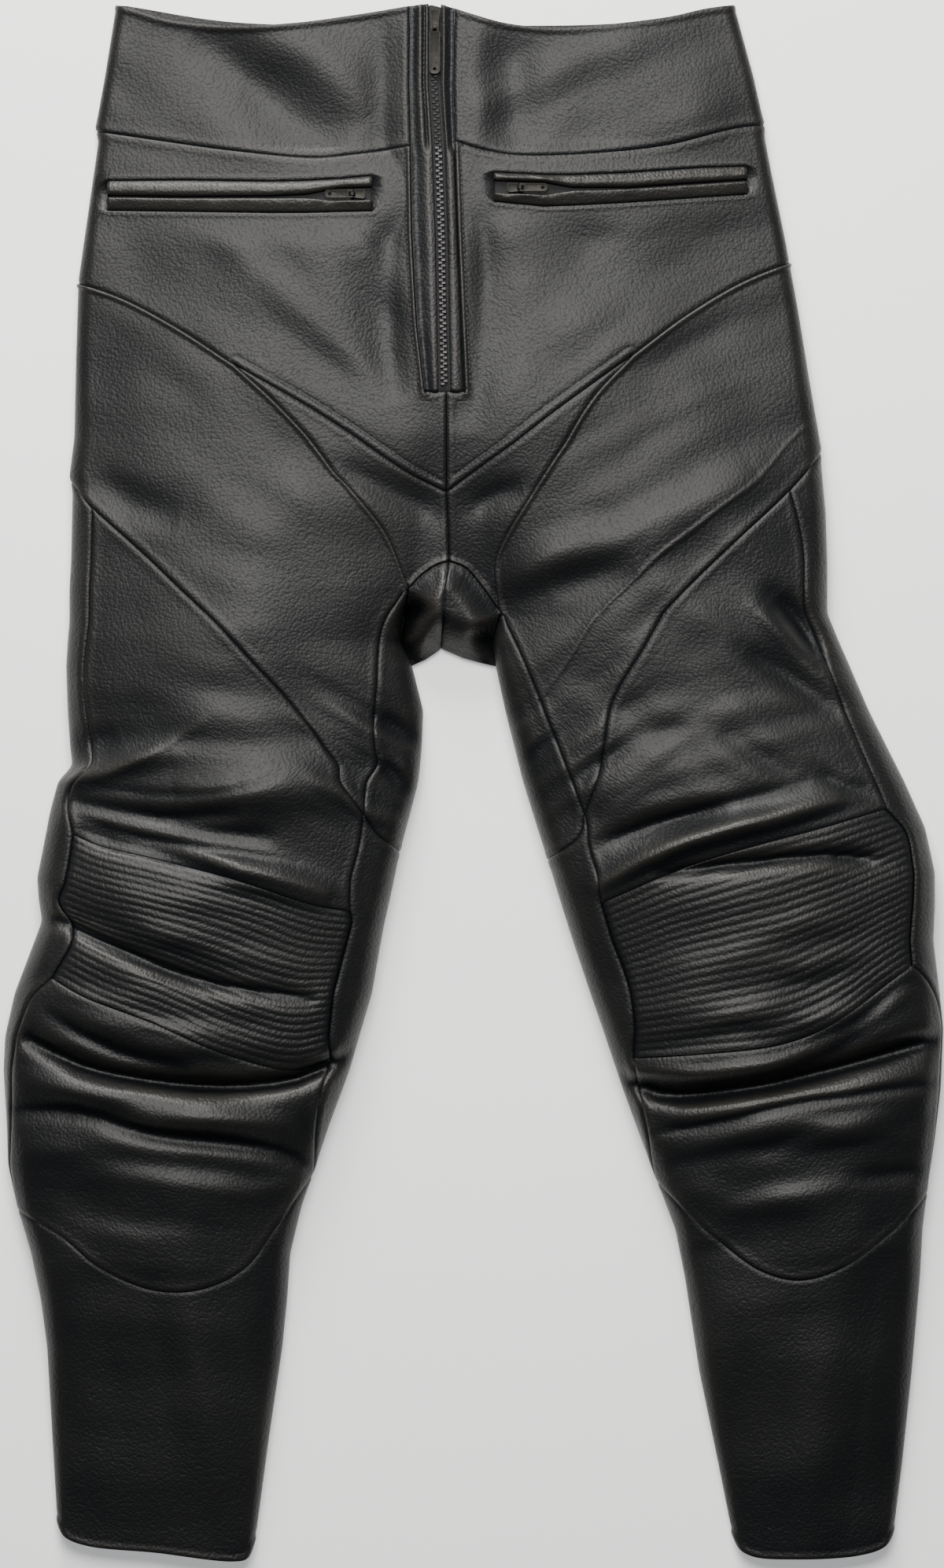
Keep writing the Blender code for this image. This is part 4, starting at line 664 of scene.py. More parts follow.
def outward(form: Form, u: Array, down: Array, creased: bool = False, step: float = 0.05) -> Array:
    """Outward normals of a form, in the model's axes.

    Args:
        form: The form that the points lie on.
        u: Girth (or x, on a plan form) of each point.
        down: Down, of each point.
        creased: Whether the folds tilt them.
        step: Half the distance over which the slope is measured.

    Returns:
        One unit vector for each point.
    """
    across = form.point(u + step, down, creased) - form.point(u - step, down, creased)
    along = form.point(u, down + step, creased) - form.point(u, down - step, creased)
    return unit(np.cross(across, along) * form.sign) * (1.0, -1.0, 1.0)


def to_model(points: Array) -> Array:
    """Plan millimetres to the model's metres."""
    x, down, z = points[:, 0], points[:, 1], points[:, 2]
    return np.stack([x, LENGTH / 2 - down, z], axis=1) * MM


# ---- seams
def walk(line: Array, stride: Callable[[float, float], float] | None = None) -> Array:
    """Points along a fine line, never further apart than the stride allows there.

    Args:
        line: The fine line.
        stride: The spacing at a place; a front panel's everywhere, if it isn't given.

    Returns:
        The points.
    """
    lengths = np.linalg.norm(np.diff(line, axis=0), axis=1)
    strides = [stride(*(a + b) / 2) if stride else FRONT_STEP for a, b in zip(line, line[1:])]
    total = np.concatenate([[0.0], np.cumsum(lengths / strides)])
    stops = np.linspace(0, total[-1], max(2, math.ceil(total[-1]) + 1))
    return np.stack([np.interp(stops, total, line[:, i]) for i in range(2)], axis=1)


def evenly(line: Array, count: int) -> Array:
    """The fine line as so many equal steps."""
    total = reached(line)
    stops = np.linspace(0, total[-1], count + 1)
    return np.stack([np.interp(stops, total, line[:, i]) for i in range(line.shape[1])], axis=1)


def on_ring(side: SideForm, plan: Points | Array) -> Array:
    """Plan points of the front as (girth, down)."""
    x, down = np.asarray(plan, float).T
    return np.stack([side.girth_at(x, down), down], axis=1)


def on_floor(side: SideForm, plan: Points | Array) -> Array:
    """Plan points underneath as (girth, down)."""
    x, down = np.asarray(plan, float).T
    return np.stack([side.floor_girth(x, down), down], axis=1)


def down_line(place: Callable[[Array], Array], low: float, high: float) -> Array:
    """A line down the garment between two levels, its place across given for each level."""
    downs = np.linspace(low, high, max(2, math.ceil((high - low) / FRONT_STEP) + 1))
    return np.stack([place(downs), downs], axis=1)


def fly_line(name: str, low: float, high: float) -> Array:
    """One of the fly's lines between two levels, in plan."""
    return down_line(lambda downs: column(FLY, name, downs), low, high)


def chain(*runs: Array) -> Array:
    """One closed outline from runs of points; each repeats the last one's end."""
    return np.vstack([np.asarray(run, float)[:-1] for run in runs])


def across(first: Array, last: Array, steps: int) -> tuple[Array, Array]:
    """The two short edges between a piece's long ones, at their starts and at their ends."""
    t = np.linspace(0, 1, steps + 1)[:, None]
    return first[0] + (last[0] - first[0]) * t, first[-1] + (last[-1] - first[-1]) * t


class SeamBook:
    """Every seam of one side as points of its ring, shared by the panels beside it."""

    HEM_BACK = (0.12, 0.35, 0.6, 0.88)        # shares of the way across where the back hem is bent
    HEM_DIP = 10.0                            # and how far it dips in the middle
    FLY_BASE_STEPS = 8

    def __init__(self, side: SideForm) -> None:
        """Walks all the seams of a side."""
        self.side, self.lines = side, {}
        self._sewn()
        self._fly()
        self._underneath()
        self._hidden()

    def __getitem__(self, name: str) -> Array:
        """The points of a seam."""
        return self.lines[name]

    def outline(self, words: str) -> list[Run]:
        """A panel's outline from the names of its seams.

        Args:
            words: Seams in order, "-" after one that runs backwards, and ":" before how its edge
                is made, where it isn't sewn.

        Returns:
            The runs.
        """
        runs = []
        for word in words.split():
            name, _, edge = word.partition(":")
            line = self.lines[name.rstrip("-")]
            runs.append(Run(line[::-1] if name.endswith("-") else line, Edge[(edge or "sewn").upper()]))
        return runs

    def stride(self, girth: float, down: float) -> float:
        """Spacing of a seam's points: wider where it is out of sight underneath."""
        return BACK_STEP if girth < float(self.side.under_outer(down)) - BACK_STARTS else FRONT_STEP

    def _sewn(self) -> None:
        """The seams of the tables, with their ends taken round the folded edges."""
        side, rough, lines = self.side, {}, self.lines
        for name, points in SEAMS[side.name].items():
            ring = on_ring(side, points)
            first, last = (float(points[end][1]) for end in (0, -1))
            if name in WRAPS_OUTSIDE:
                ring[0, 0] = 0.0
                ring = np.vstack([[side.under_outer(first), first], ring])
            if name in WRAPS_INSIDE:
                ring[-1, 0] = at(side.girth, last)
                ring = np.vstack([ring, [side.under_inner(last), last]])
            rough[name] = ring
        ends = rough["cup"][1], rough["cup"][-2]
        rough["side_calf"][-1], rough["inner_calf"][-1] = ends
        fine = {name: smooth_curve(points) for name, points in rough.items()}
        lines.update({name: walk(line, self.stride) for name, line in fine.items()})
        for name, points in (*list(CENTRE_SEAM.items())[:2], ("gusset_top", SEAMS[side.name]["gusset_top"])):
            lines[name] = on_ring(side, walk(smooth_curve(points)))
        for name in ("knee_top", "knee_bottom"):
            lines[name] = evenly(fine[name], KNEE_COLUMNS)
        for name in ("side_knee", "inner_knee"):
            lines[name] = on_ring(side, evenly(side.point(*fine[name].T)[:, :2], RIB_COUNT * RIB_ROWS))
        cup = lines["cup"]
        outer, inner = (int(np.argmin(np.linalg.norm(cup - end, axis=1))) for end in ends)
        cup[outer], cup[inner] = lines["side_calf"][-1], lines["inner_calf"][-1]
        lines.update(cup_outer_wrap=cup[:outer + 1], cup_over=cup[outer:inner + 1], cup_inner_wrap=cup[inner:])

    def _fly(self) -> None:
        """The stitched edge of the fly."""
        name, lines = self.side.name, self.lines
        waist, band = (SEAMS[name][seam][-1][1] for seam in ("waist", "band"))
        base = np.array([fly_line(name, FLY_BASE, FLY_BASE)[0], CENTRE_SEAM["centre_upper"][0]])
        for key, line in (("fly_upper", fly_line(name, waist, band)), ("fly_lower", fly_line(name, band, FLY_BASE)),
                          ("fly_base", evenly(base, self.FLY_BASE_STEPS))):
            lines[key] = on_ring(self.side, line)

    def _underneath(self) -> None:
        """The crotch, the seat's lower seam and the back hem, all on the floor."""
        side, lines = self.side, self.lines
        lines["crotch"] = walk(on_floor(side, CROTCH[side.name]))
        seat = np.vstack([lines["diagonal_outer"][:1], on_floor(side, SEAT_SEAM[side.name])])
        lines["seat"] = walk(smooth_curve(seat), self.stride)
        (corner, start), end = CROTCH[side.name][-1], lines["hem"][-1][1]
        downs = np.concatenate([[start, start + 3], np.arange(start + 6, end, BACK_STEP), [end]])
        x = at(side.inner, downs) - side.sign * at(side.inner_roll, downs)
        x[0] = corner
        lines["inner_floor"] = on_floor(side, np.stack([x, downs], axis=1))
        first, last = lines["hem"][0], lines["inner_floor"][-1]
        bent = [first + (last - first) * t + (0, self.HEM_DIP * math.sin(math.pi * t) ** 0.5) for t in self.HEM_BACK]
        lines["hem_back"] = walk(np.vstack([[first], bent, [last]]), self.stride)

    def _hidden(self) -> None:
        """The lines that close each panel where it turns under a fold."""
        side, lines = self.side, self.lines
        for name, fold, top, low in (
                ("under_band", side.under_outer, lines["waist"][0], lines["band"][0]),
                ("under_hip", side.under_outer, lines["band"][0], lines["hip_curve_outer"][0]),
                ("under_thigh", side.under_outer, lines["hip_curve_outer"][0], lines["diagonal_outer"][0]),
                ("under_shin", side.under_outer, lines["cup"][0], lines["hem"][0]),
                ("under_seat", side.under_outer, lines["band"][0], lines["diagonal_outer"][0]),
                ("inside_calf", side.under_inner, lines["inner_end"][-1], lines["cup"][-1]),
                ("inside_shin", side.under_inner, lines["cup"][-1], lines["hem"][-1])):
            lines[name] = down_line(fold, top[1], low[1])
        end, start = lines["inner_end"][-1][1], side.crotch
        downs = np.concatenate([[start], np.arange(start + 2, end, FRONT_STEP), [end]])
        edge = at(side.girth, downs)
        turned = edge + smoothstep(start - 1, start + 6, downs) * (side.under_inner(downs) - edge)
        lines["inside_thigh"] = np.stack([turned, downs], axis=1)
        lines["inside_thigh"][0] = on_ring(side, [SEAMS[side.name]["gusset_top"][-1]])[0]


# ---- outlines in the flat
def signed_area(loop: Array) -> float:
    """Area inside a loop, below 0 where it runs clockwise."""
    x, y = loop.T
    return 0.5 * float(np.sum(x * np.roll(y, -1) - y * np.roll(x, -1)))


def closed(loop: Array) -> Array:
    """A loop that repeats its first point at its end."""
    return np.vstack([loop, loop[:1]])


def inset(loop: Array, away: float) -> Array:
    """The loop moved in by a distance.

    Args:
        loop: A closed outline.
        away: Millimetres, below 0 for outwards.

    Returns:
        One moved point for each point.
    """
    if signed_area(loop) < 0:
        away = -away
    before, after = unit(loop - np.roll(loop, 1, axis=0)), unit(np.roll(loop, -1, axis=0) - loop)
    left_before, left_after = (np.stack([-v[:, 1], v[:, 0]], axis=1) for v in (before, after))
    bisector = left_before + left_after
    bisector /= np.maximum(np.linalg.norm(bisector, axis=1, keepdims=True), 1e-9)
    reach = np.maximum(np.sum(bisector * left_before, axis=1, keepdims=True), 0.12)
    return loop + bisector * away / reach


def inside(loop: Array, points: Array) -> Array:
    """Which points lie inside a loop."""
    found, (x, y) = np.zeros(len(points), bool), points.T
    for (x0, y0), (x1, y1) in zip(loop, np.roll(loop, -1, axis=0)):
        if y0 != y1:
            found ^= ((y0 > y) != (y1 > y)) & (x < (x1 - x0) * (y - y0) / (y1 - y0) + x0)
    return found


def cut_rectangle(outline: Array) -> tuple[float, float]:
    """The smallest turned rectangle that a flat piece is cut from, in metres."""
    best = (1e9, 1.0, 1.0)
    for degrees in range(0, 90, 3):
        cos, sin = math.cos(math.radians(degrees)), math.sin(math.radians(degrees))
        width, length = np.ptp(outline @ (cos, sin)), np.ptp(outline @ (-sin, cos))
        best = min(best, (width * length, width, length))
    return best[1] * MM, best[2] * MM


# ---- edges and shells
class Profile(NamedTuple):
    """A raised or sunk line: where across a piece, its half width, its height."""
    place: float
    half: float
    rise: float


def relief_of(lines: Sequence[Profile], away: Array) -> Array:
    """How far some lines raise a face at places across it."""
    return sum((line.rise * hump(away, line.place, line.half) for line in lines), np.zeros(np.shape(away)))


class Edge(Enum):
    """How a panel's edge is made: the lines that run beside it."""
    SEWN = (Profile(0.0, 0.75, -0.6), Profile(3.0, 2.2, 0.3))         # drawn down into its seam
    STITCHED = (*SEWN, Profile(5.2, 0.9, -0.5))                       # the same, over a row of stitches
    LIP = (Profile(1.2, 1.3, 1.25), Profile(0.0, 0.4, -0.6))          # stands proud over its neighbour
    TUCKED = (Profile(0.0, 1.2, -0.6),)                               # runs down under a lip
    TURNED = (Profile(1.6, 1.6, 0.5), Profile(5.0, 1.3, -0.1))        # folded over at the waist or a hem
    WINDOW = (Profile(1.6, 1.5, 0.35), Profile(0.0, 0.5, -0.3))       # turned in round an opening
    HIDDEN = ()                                                       # out of sight


class Run(NamedTuple):
    """One stretch of a panel's outline and how its edge is made."""
    line: Array
    edge: Edge


Relief = Callable[[Array, Array], Array]


def linked(name: str, data: bpy.types.ID) -> Object:
    """A mesh, lamp or camera as an object of the scene."""
    obj = bpy.data.objects.new(name, data)
    bpy.context.scene.collection.objects.link(obj)
    return obj


def deselect() -> None:
    """Leaves nothing selected."""
    for obj in bpy.context.selected_objects:
        obj.select_set(False)


def dress(obj: Object, material: Material, node: str = "", body: str = TRUNK) -> None:
    """Gives a made piece what the model needs of it.

    Args:
        obj: The piece.
        material: Its finish.
        node: The solid that it stands for, if it does.
        body: The body that it rides on.
    """
    obj.data.materials.append(material)
    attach(obj, body)
    if node:
        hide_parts(node)
    LOG.info("%s: %d faces", obj.name, len(obj.data.polygons))


@dataclass
class Patch:
    """A piece laid flat on its form."""
    form: Form
    outline: Array            # its cut
    flat: Array               # (girth, down) of each point
    faces: Array              # corner numbers, one row for each triangle or quad
    raised: Array             # how far the outer face stands off the form at each point

    CREST_REACH = 4.0         # a point is on a crest if it stands over what is this far round it
    CREST_GAIN = 0.55

    def gain(self) -> float:
        """How many times larger the form is than its plan: 1 on a ring, whose girth is real leather."""
        if isinstance(self.form, SideForm):
            return 1.0
        place, areas = self.form.point(*self.flat.T, False), []
        for points in (place, place * (1.0, 1.0, 0.0)):
            corners = (points[self.faces[:, (0, i, i + 1)]] for i in range(1, self.faces.shape[1] - 1))
            areas.append(sum(0.5 * float(np.linalg.norm(np.cross(p[:, 1] - p[:, 0], p[:, 2] - p[:, 0]), axis=1).sum())
                             for p in corners))
        return areas[0] / areas[1]

    def worn(self) -> Array:
        """How light its colour is painted at each point: 0 in a trough, painted shade; 1 on a crest, wear and painted
        highlight.
        """
        (u, down), reach = self.flat.T, self.CREST_REACH
        here, *beside = (self.form.point(u + a, down + b)[:, 2]
                         for a, b in ((0, 0), (reach, 0), (-reach, 0), (0, reach), (0, -reach)))
        crest = np.clip(0.5 + (here - sum(beside) / 4) * self.CREST_GAIN, 0, 1)
        return np.clip(crest + 0.5 * self.raised, 0, 1)

    def shell(self, name: str, thickness: float = LEATHER, lift: float = 0.0) -> Object:
        """A closed thin wall: its outer face, its inner face and the rim between them.

        Args:
            name: The piece's name.
            thickness: Of the wall.
            lift: Of the whole wall over the form.

        Returns:
            The object, at the origin, with its own UV map and an attribute of wear and painted light.
        """
        place, normal = self.form.point(*self.flat.T), outward(self.form, *self.flat.T)
        self.raised = np.where(place[:, 2] < 1.0, np.minimum(self.raised, 0.0), self.raised)
        base, faces, count = to_model(place), self.faces, len(place)
        points = np.vstack([base + normal * ((lift + self.raised) * MM)[:, None],
                            base + normal * (lift - thickness) * MM])
        sides = np.stack([faces, np.roll(faces, -1, axis=1)], axis=2).swapaxes(0, 1).reshape(-1, 2)
        there = set(map(tuple, sides.tolist()))
        rim = [(b, a, a + count, b + count) for a, b in there if (b, a) not in there]
        mesh = bpy.data.meshes.new(name)
        mesh.from_pydata(points.tolist(), [], faces.tolist() + (faces[:, ::-1] + count).tolist() + rim)
        bm = bmesh.new()
        bm.from_mesh(mesh)
        if bm.calc_volume(signed=True) < 0:
            bmesh.ops.reverse_faces(bm, faces=bm.faces)
        bm.to_mesh(mesh)
        bm.free()
        mesh.shade_smooth()
        corners = np.empty(len(mesh.loops), np.int32)
        mesh.loops.foreach_get("vertex_index", corners)
        cut = np.tile(self.flat * MM, (2, 1))[corners].astype(np.float32)
        mesh.uv_layers.new(name="cut").data.foreach_set("uv", cut.ravel())
        attribute = mesh.attributes.new("worn", "FLOAT", "POINT")
        attribute.data.foreach_set("value", np.tile(self.worn(), 2).astype(np.float32))
        return linked(name, mesh)

    def make(self, name: str, node: str, material: Material, slot: str, rests_on: Sequence[str] = (),
             gain: float = 1.0, **wall: float) -> None:
        """Makes the shell and dresses it; the size that it is cut to is worked out but not used.

        Args:
            name: The piece's name.
            node: The solid that it stands for.
            material: Its finish.
            slot: The name of its material slot; not used.
            rests_on: Nodes that it lies on; not used.
            gain: How many times larger than its outline it is cut.
            wall: The shell's thickness and lift, where they aren't a leather panel's.
        """
        obj = self.shell(name, **wall)
        dress(obj, material, node)
        width, length = (size * math.sqrt(gain) for size in cut_rectangle(self.outline))
        gain * abs(signed_area(self.outline)) * MM * MM


def staggered(outline: Array, coarse_below: Girths | None) -> Array:
    """Staggered rows of points all over an outline's box.

    Args:
        outline: The outline.
        coarse_below: Girth at each level under which points are further apart.

    Returns:
        The points.
    """
    low, high = outline.min(axis=0), outline.max(axis=0)
    found = []
    for number, down in enumerate(np.arange(low[1] + FRONT_STEP / 2, high[1], FRONT_STEP * ROW_SHARE)):
        girths = np.arange(low[0] + (number % 2) * FRONT_STEP / 2, high[0], FRONT_STEP)
        if coarse_below is not None:
            limit = float(coarse_below(down))
            coarse = np.arange(low[0], limit, BACK_STEP) if number % 3 == 0 else np.zeros(0)
            girths = np.concatenate([coarse, girths[girths >= limit]])
        found.append(np.stack([girths, np.full(len(girths), down)], axis=1))
    return np.vstack(found)


def fill(form: Form, runs: Sequence[Run], holes: Sequence[Array], gap: float,
         coarse_below: Girths | None) -> Patch:
    """Fills an outline with points and joins them to triangles.

    Args:
        form: The form that it lies on.
        runs: The outline, in order.
        holes: Loops that are cut out.
        gap: How far the panel stops short of its outline.
        coarse_below: Girth at each level under which points are further apart.

    Returns:
        The piece laid flat, raised by its edges.
    """
    outline = chain(*(run.line for run in runs))
    border, windows = inset(outline, gap), [inset(hole, -gap) for hole in holes]
    border = border[distance(closed(outline), border) > BORDER_TRIM * gap]
    clear = EDGE_LOOPS[-1] + gap + FILL_CLEAR * FRONT_STEP
    filling, rings = staggered(outline, coarse_below), []
    for loop, way in ((outline, 1), *((hole, -1) for hole in holes)):
        for away in EDGE_LOOPS:
            ring = inset(loop, way * (gap + away))
            rings.append(ring[distance(closed(loop), ring) > LOOP_TRIM * (gap + away)])
        filling = filling[inside(loop, filling) == (way > 0)]
        filling = filling[distance(closed(loop), filling) > clear]
    sharp = [crease for crease in CREASES.get(form.name, ()) if crease.width < SHARP]
    for crease in sharp:
        line = walk(smooth_curve(on_ring(form, crease.line)), lambda girth, down: SHARP_STEP)
        sideways = unit(np.gradient(line, axis=0)[:, ::-1] * (1, -1))
        line = line[inside(outline, line)]
        if len(line) > 3:
            filling = filling[distance(line, filling) > SHARP_CLEAR]
            beside = np.vstack([line + sideways[:len(line)] * away for away in RIBBON])
            rings.append(beside[distance(closed(outline), beside) > clear])
    loops = [border, *windows]
    points = np.vstack(loops + [ring[inside(outline, ring)] for ring in rings if len(ring)] + [filling])
    starts = np.cumsum([0] + [len(loop) for loop in loops])
    edges = [(int(start + i), int(start + (i + 1) % len(loop)))
             for start, loop in zip(starts, loops) for i in range(len(loop))]
    corners, _, triangles, *_ = delaunay_2d_cdt([Vector(p) for p in points], edges, [], 0, 1e-6)
    corners = np.array([tuple(corner) for corner in corners])
    triangles = np.array([t for t in triangles if len(t) == 3])
    middles = corners[triangles].mean(axis=1)
    keep = inside(border, middles)
    for window in windows:
        keep &= ~inside(window, middles)
    used, triangles = np.unique(triangles[keep], return_inverse=True)
    corners, raised = corners[used], np.zeros(len(used))
    for edge in Edge:
        lines = [run.line for run in runs if run.edge is edge]
        lines += [closed(hole) for hole in holes] if edge is Edge.WINDOW else []
        if lines and edge.value:
            raised += relief_of(edge.value, np.min([distance(line, corners) for line in lines], axis=0))
    return Patch(form, outline, corners, triangles.reshape(-1, 3), raised)


def coons(form: Form, top: Array, bottom: Array, first: Array, last: Array, relief: Relief | None = None) -> Patch:
    """A four-sided piece in rows and columns (a Coons patch).

    Args:
        form: The form that it lies on.
        top: Its first edge.
        bottom: The edge across from it, the same way round.
        first: The edge from top's start to bottom's start.
        last: The edge from top's end to bottom's end.
        relief: Height from (u, v), both 0 to 1.

    Returns:
        The piece laid flat.
    """
    columns, count = len(top) - 1, len(first) - 1
    outline = chain(top, last, bottom[::-1], first[::-1])
    border = closed(inset(outline, HALF_GAP))
    top, last, bottom, first = (border[start:start + size + 1] for start, size in (
        (0, columns), (columns, count), (columns + count, columns), (2 * columns + count, count)))
    bottom, first = bottom[::-1], first[::-1]
    u, v = np.linspace(0, 1, columns + 1)[None, :, None], np.linspace(0, 1, count + 1)[:, None, None]
    flat = ((1 - v) * top[None] + v * bottom[None] + (1 - u) * first[:, None] + u * last[:, None]
            - (1 - u) * (1 - v) * top[0] - u * (1 - v) * top[-1] - (1 - u) * v * bottom[0] - u * v * bottom[-1])
    number = np.arange((count + 1) * (columns + 1)).reshape(count + 1, columns + 1)
    faces = np.stack([number[:-1, :-1], number[:-1, 1:], number[1:, 1:], number[1:, :-1]], axis=-1).reshape(-1, 4)
    grid_u, grid_v = (values.ravel() for values in np.meshgrid(u[0, :, 0], v[:, 0, 0]))
    raised = relief(grid_u, grid_v) if relief else np.zeros(len(grid_u))
    return Patch(form, outline, flat.reshape(-1, 2), faces, raised)


@dataclass
class Trim:
    """Cuts leather pieces."""
    leather: Material
    lowest: float = 0.3 - LEATHER     # of a panel's relief, so that its wall keeps some thickness
    highest: float = 2.5

    def panel(self, node: str, form: Form, runs: Sequence[Run], holes: Sequence[Array] = (), gap: float = HALF_GAP,
              coarse_below: Girths | None = None, relief: Relief | None = None,
              rests_on: Sequence[str] = ()) -> None:
        """Cuts a panel between its seams and shapes it on its form.

        Args:
            node: The solid that it stands for.
            form: The form that it lies on.
            runs: Its outline and how each stretch is made.
            holes: Loops that are cut out.
            gap: How far it stops short of its seams.
            coarse_below: Girth under which its points are further apart.
            relief: More height, from (girth, down).
            rests_on: Nodes that it lies on.
        """
        patch = fill(form, runs, holes, gap, coarse_below)
        if relief is not None:
            patch.raised = patch.raised + relief(*patch.flat.T)
        patch.raised = np.clip(patch.raised, self.lowest, self.highest)
        self.finish(node, patch, rests_on)

    def finish(self, node: str, patch: Patch, rests_on: Sequence[str] = ()) -> None:
        """Makes a piece of leather from its flat points."""
        patch.make(f"leather_{node}", node, self.leather, "leather", rests_on, gain=patch.gain())


# ---- finishes
class Board:
    """A node tree that is wired by short calls."""

    def __init__(self, tree: bpy.types.NodeTree) -> None:
        """Takes the tree to wire."""
        self.tree = tree

    def wire(self, node: bpy.types.Node, sockets: dict[str | int, object]) -> bpy.types.Node:
        """Sets a node's sockets, by name or number: to a value, or to a socket to link."""
        for key, value in sockets.items():
            if isinstance(value, Socket):
                self.tree.links.new(value, node.inputs[key])
            else:
                node.inputs[key].default_value = value
        return node

    def add(self, kind: str, sockets: dict[str | int, object] | None = None, **settings: object) -> bpy.types.Node:
        """Adds a node.

        Args:
            kind: Its type, without "ShaderNode".
            sockets: What goes into its sockets.
            settings: Its own properties.

        Returns:
            The node.
        """
        node = self.tree.nodes.new(f"ShaderNode{kind}")
        for name, value in settings.items():
            setattr(node, name, value)
        return self.wire(node, sockets or {})

    def math(self, operation: str, a: object, b: object = 0.0) -> Socket:
        """The result of one sum of two values or sockets."""
        return self.add("Math", {0: a, 1: b}, operation=operation).outputs[0]

    def blend(self, factor: object, a: object, b: object) -> Socket:
        """One colour turning into another."""
        return self.add("Mix", {0: factor, 6: a, 7: b}, data_type="RGBA").outputs[2]

    def noise(self, vector: Socket, scale: float, detail: float = 2.0, **more: float) -> Socket:
        """A noise's value; more holds its other sockets."""
        sockets = {"Vector": vector, "Scale": scale, "Detail": detail, **more}
        return self.add("TexNoise", sockets).outputs["Fac"]

    def bump(self, height: Socket, strength: float, depth: float, **under: object) -> Socket:
        """The normals of a height, over an earlier Normal if one is given."""
        return self.add("Bump", {"Height": height, "Strength": strength, "Distance": depth, **under}).outputs[0]

    def place(self) -> Socket:
        """Object coordinates."""
        return self.add("TexCoord").outputs["Object"]

    def cut(self) -> Socket:
        """A piece's own flat coordinates, in metres of its cut."""
        return self.add("UVMap", uv_map="cut").outputs["UV"]


def new_group(name: str, inputs: dict[str, str], outputs: Sequence[str],
              wiring: Callable[[Board, bpy.types.NodeOutputs], dict[str, Socket]]) -> bpy.types.NodeTree:
    """A shader group.

    Args:
        name: Of the group.
        inputs: "Vector" or "Float" for each input.
        outputs: Names of its value outputs.
        wiring: From a board and the group's inputs, what goes to each output.

    Returns:
        The group's tree.
    """
    tree = bpy.data.node_groups.new(name, "ShaderNodeTree")
    for label, kind in inputs.items():
        tree.interface.new_socket(label, in_out="INPUT", socket_type=f"NodeSocket{kind}")
    for label in outputs:
        tree.interface.new_socket(label, in_out="OUTPUT", socket_type="NodeSocketFloat")
    board = Board(tree)
    given, out = tree.nodes.new("NodeGroupInput"), tree.nodes.new("NodeGroupOutput")
    board.wire(out, wiring(board, given.outputs))
    return tree


def pebble_grain(board: Board, given: bpy.types.NodeOutputs) -> dict[str, Socket]:
    """Pebbled hide: raised cells parted by fine valleys, and finer pores on them."""
    vector = given["Vector"]
    bend = board.add("TexNoise", {"Vector": vector, "Scale": 150.0, "Detail": 3.0}).outputs["Color"]
    bent = board.add("VectorMath", {0: bend, 1: (0.0026,) * 3, 2: vector}, operation="MULTIPLY_ADD").outputs[0]
    cells = board.add("TexVoronoi", {"Vector": bent, "Scale": given["Cells"], "Smoothness": 0.35},
                      feature="SMOOTH_F1").outputs["Distance"]
    pebble = board.math("SUBTRACT", 1.0, board.math("MULTIPLY", board.math("POWER", cells, 2.0), 1.7))
    pores = board.math("MULTIPLY", board.noise(vector, 4200.0, 3.0), 0.12)
    return {"Height": board.math("ADD", pebble, pores), "Fleck": pebble}


def drawn_hide(board: Board, given: bpy.types.NodeOutputs) -> dict[str, Socket]:
    """Drawn hide: long fine wrinkles that run mostly one way, and broad cloudy patches."""
    vector = given["Vector"]
    turned = board.add("VectorRotate", {"Vector": vector, "Angle": given["Turn"]}, rotation_type="Z_AXIS").outputs[0]
    stretched = board.add("Mapping", {"Vector": turned, "Scale": (240.0, 620.0, 420.0)}).outputs[0]
    return {"Wrinkle": board.noise(stretched, 1.0, 2.5, Roughness=0.5, Distortion=0.5),
            "Cloud": board.noise(vector, 16.0, 4.0)}


@dataclass(frozen=True)
class Finish:
    """A finish: its material's name and how its shader is fed."""
    name: str

    def make(self) -> Material:
        """Builds the material."""
        made = bpy.data.materials.new(self.name)
        made.use_nodes = True
        board = Board(made.node_tree)
        board.wire(made.node_tree.nodes["Principled BSDF"], self.sockets(board))
        return made

    def sockets(self, board: Board) -> dict[str, object]:
        """What goes into the shader's sockets."""
        raise NotImplementedError


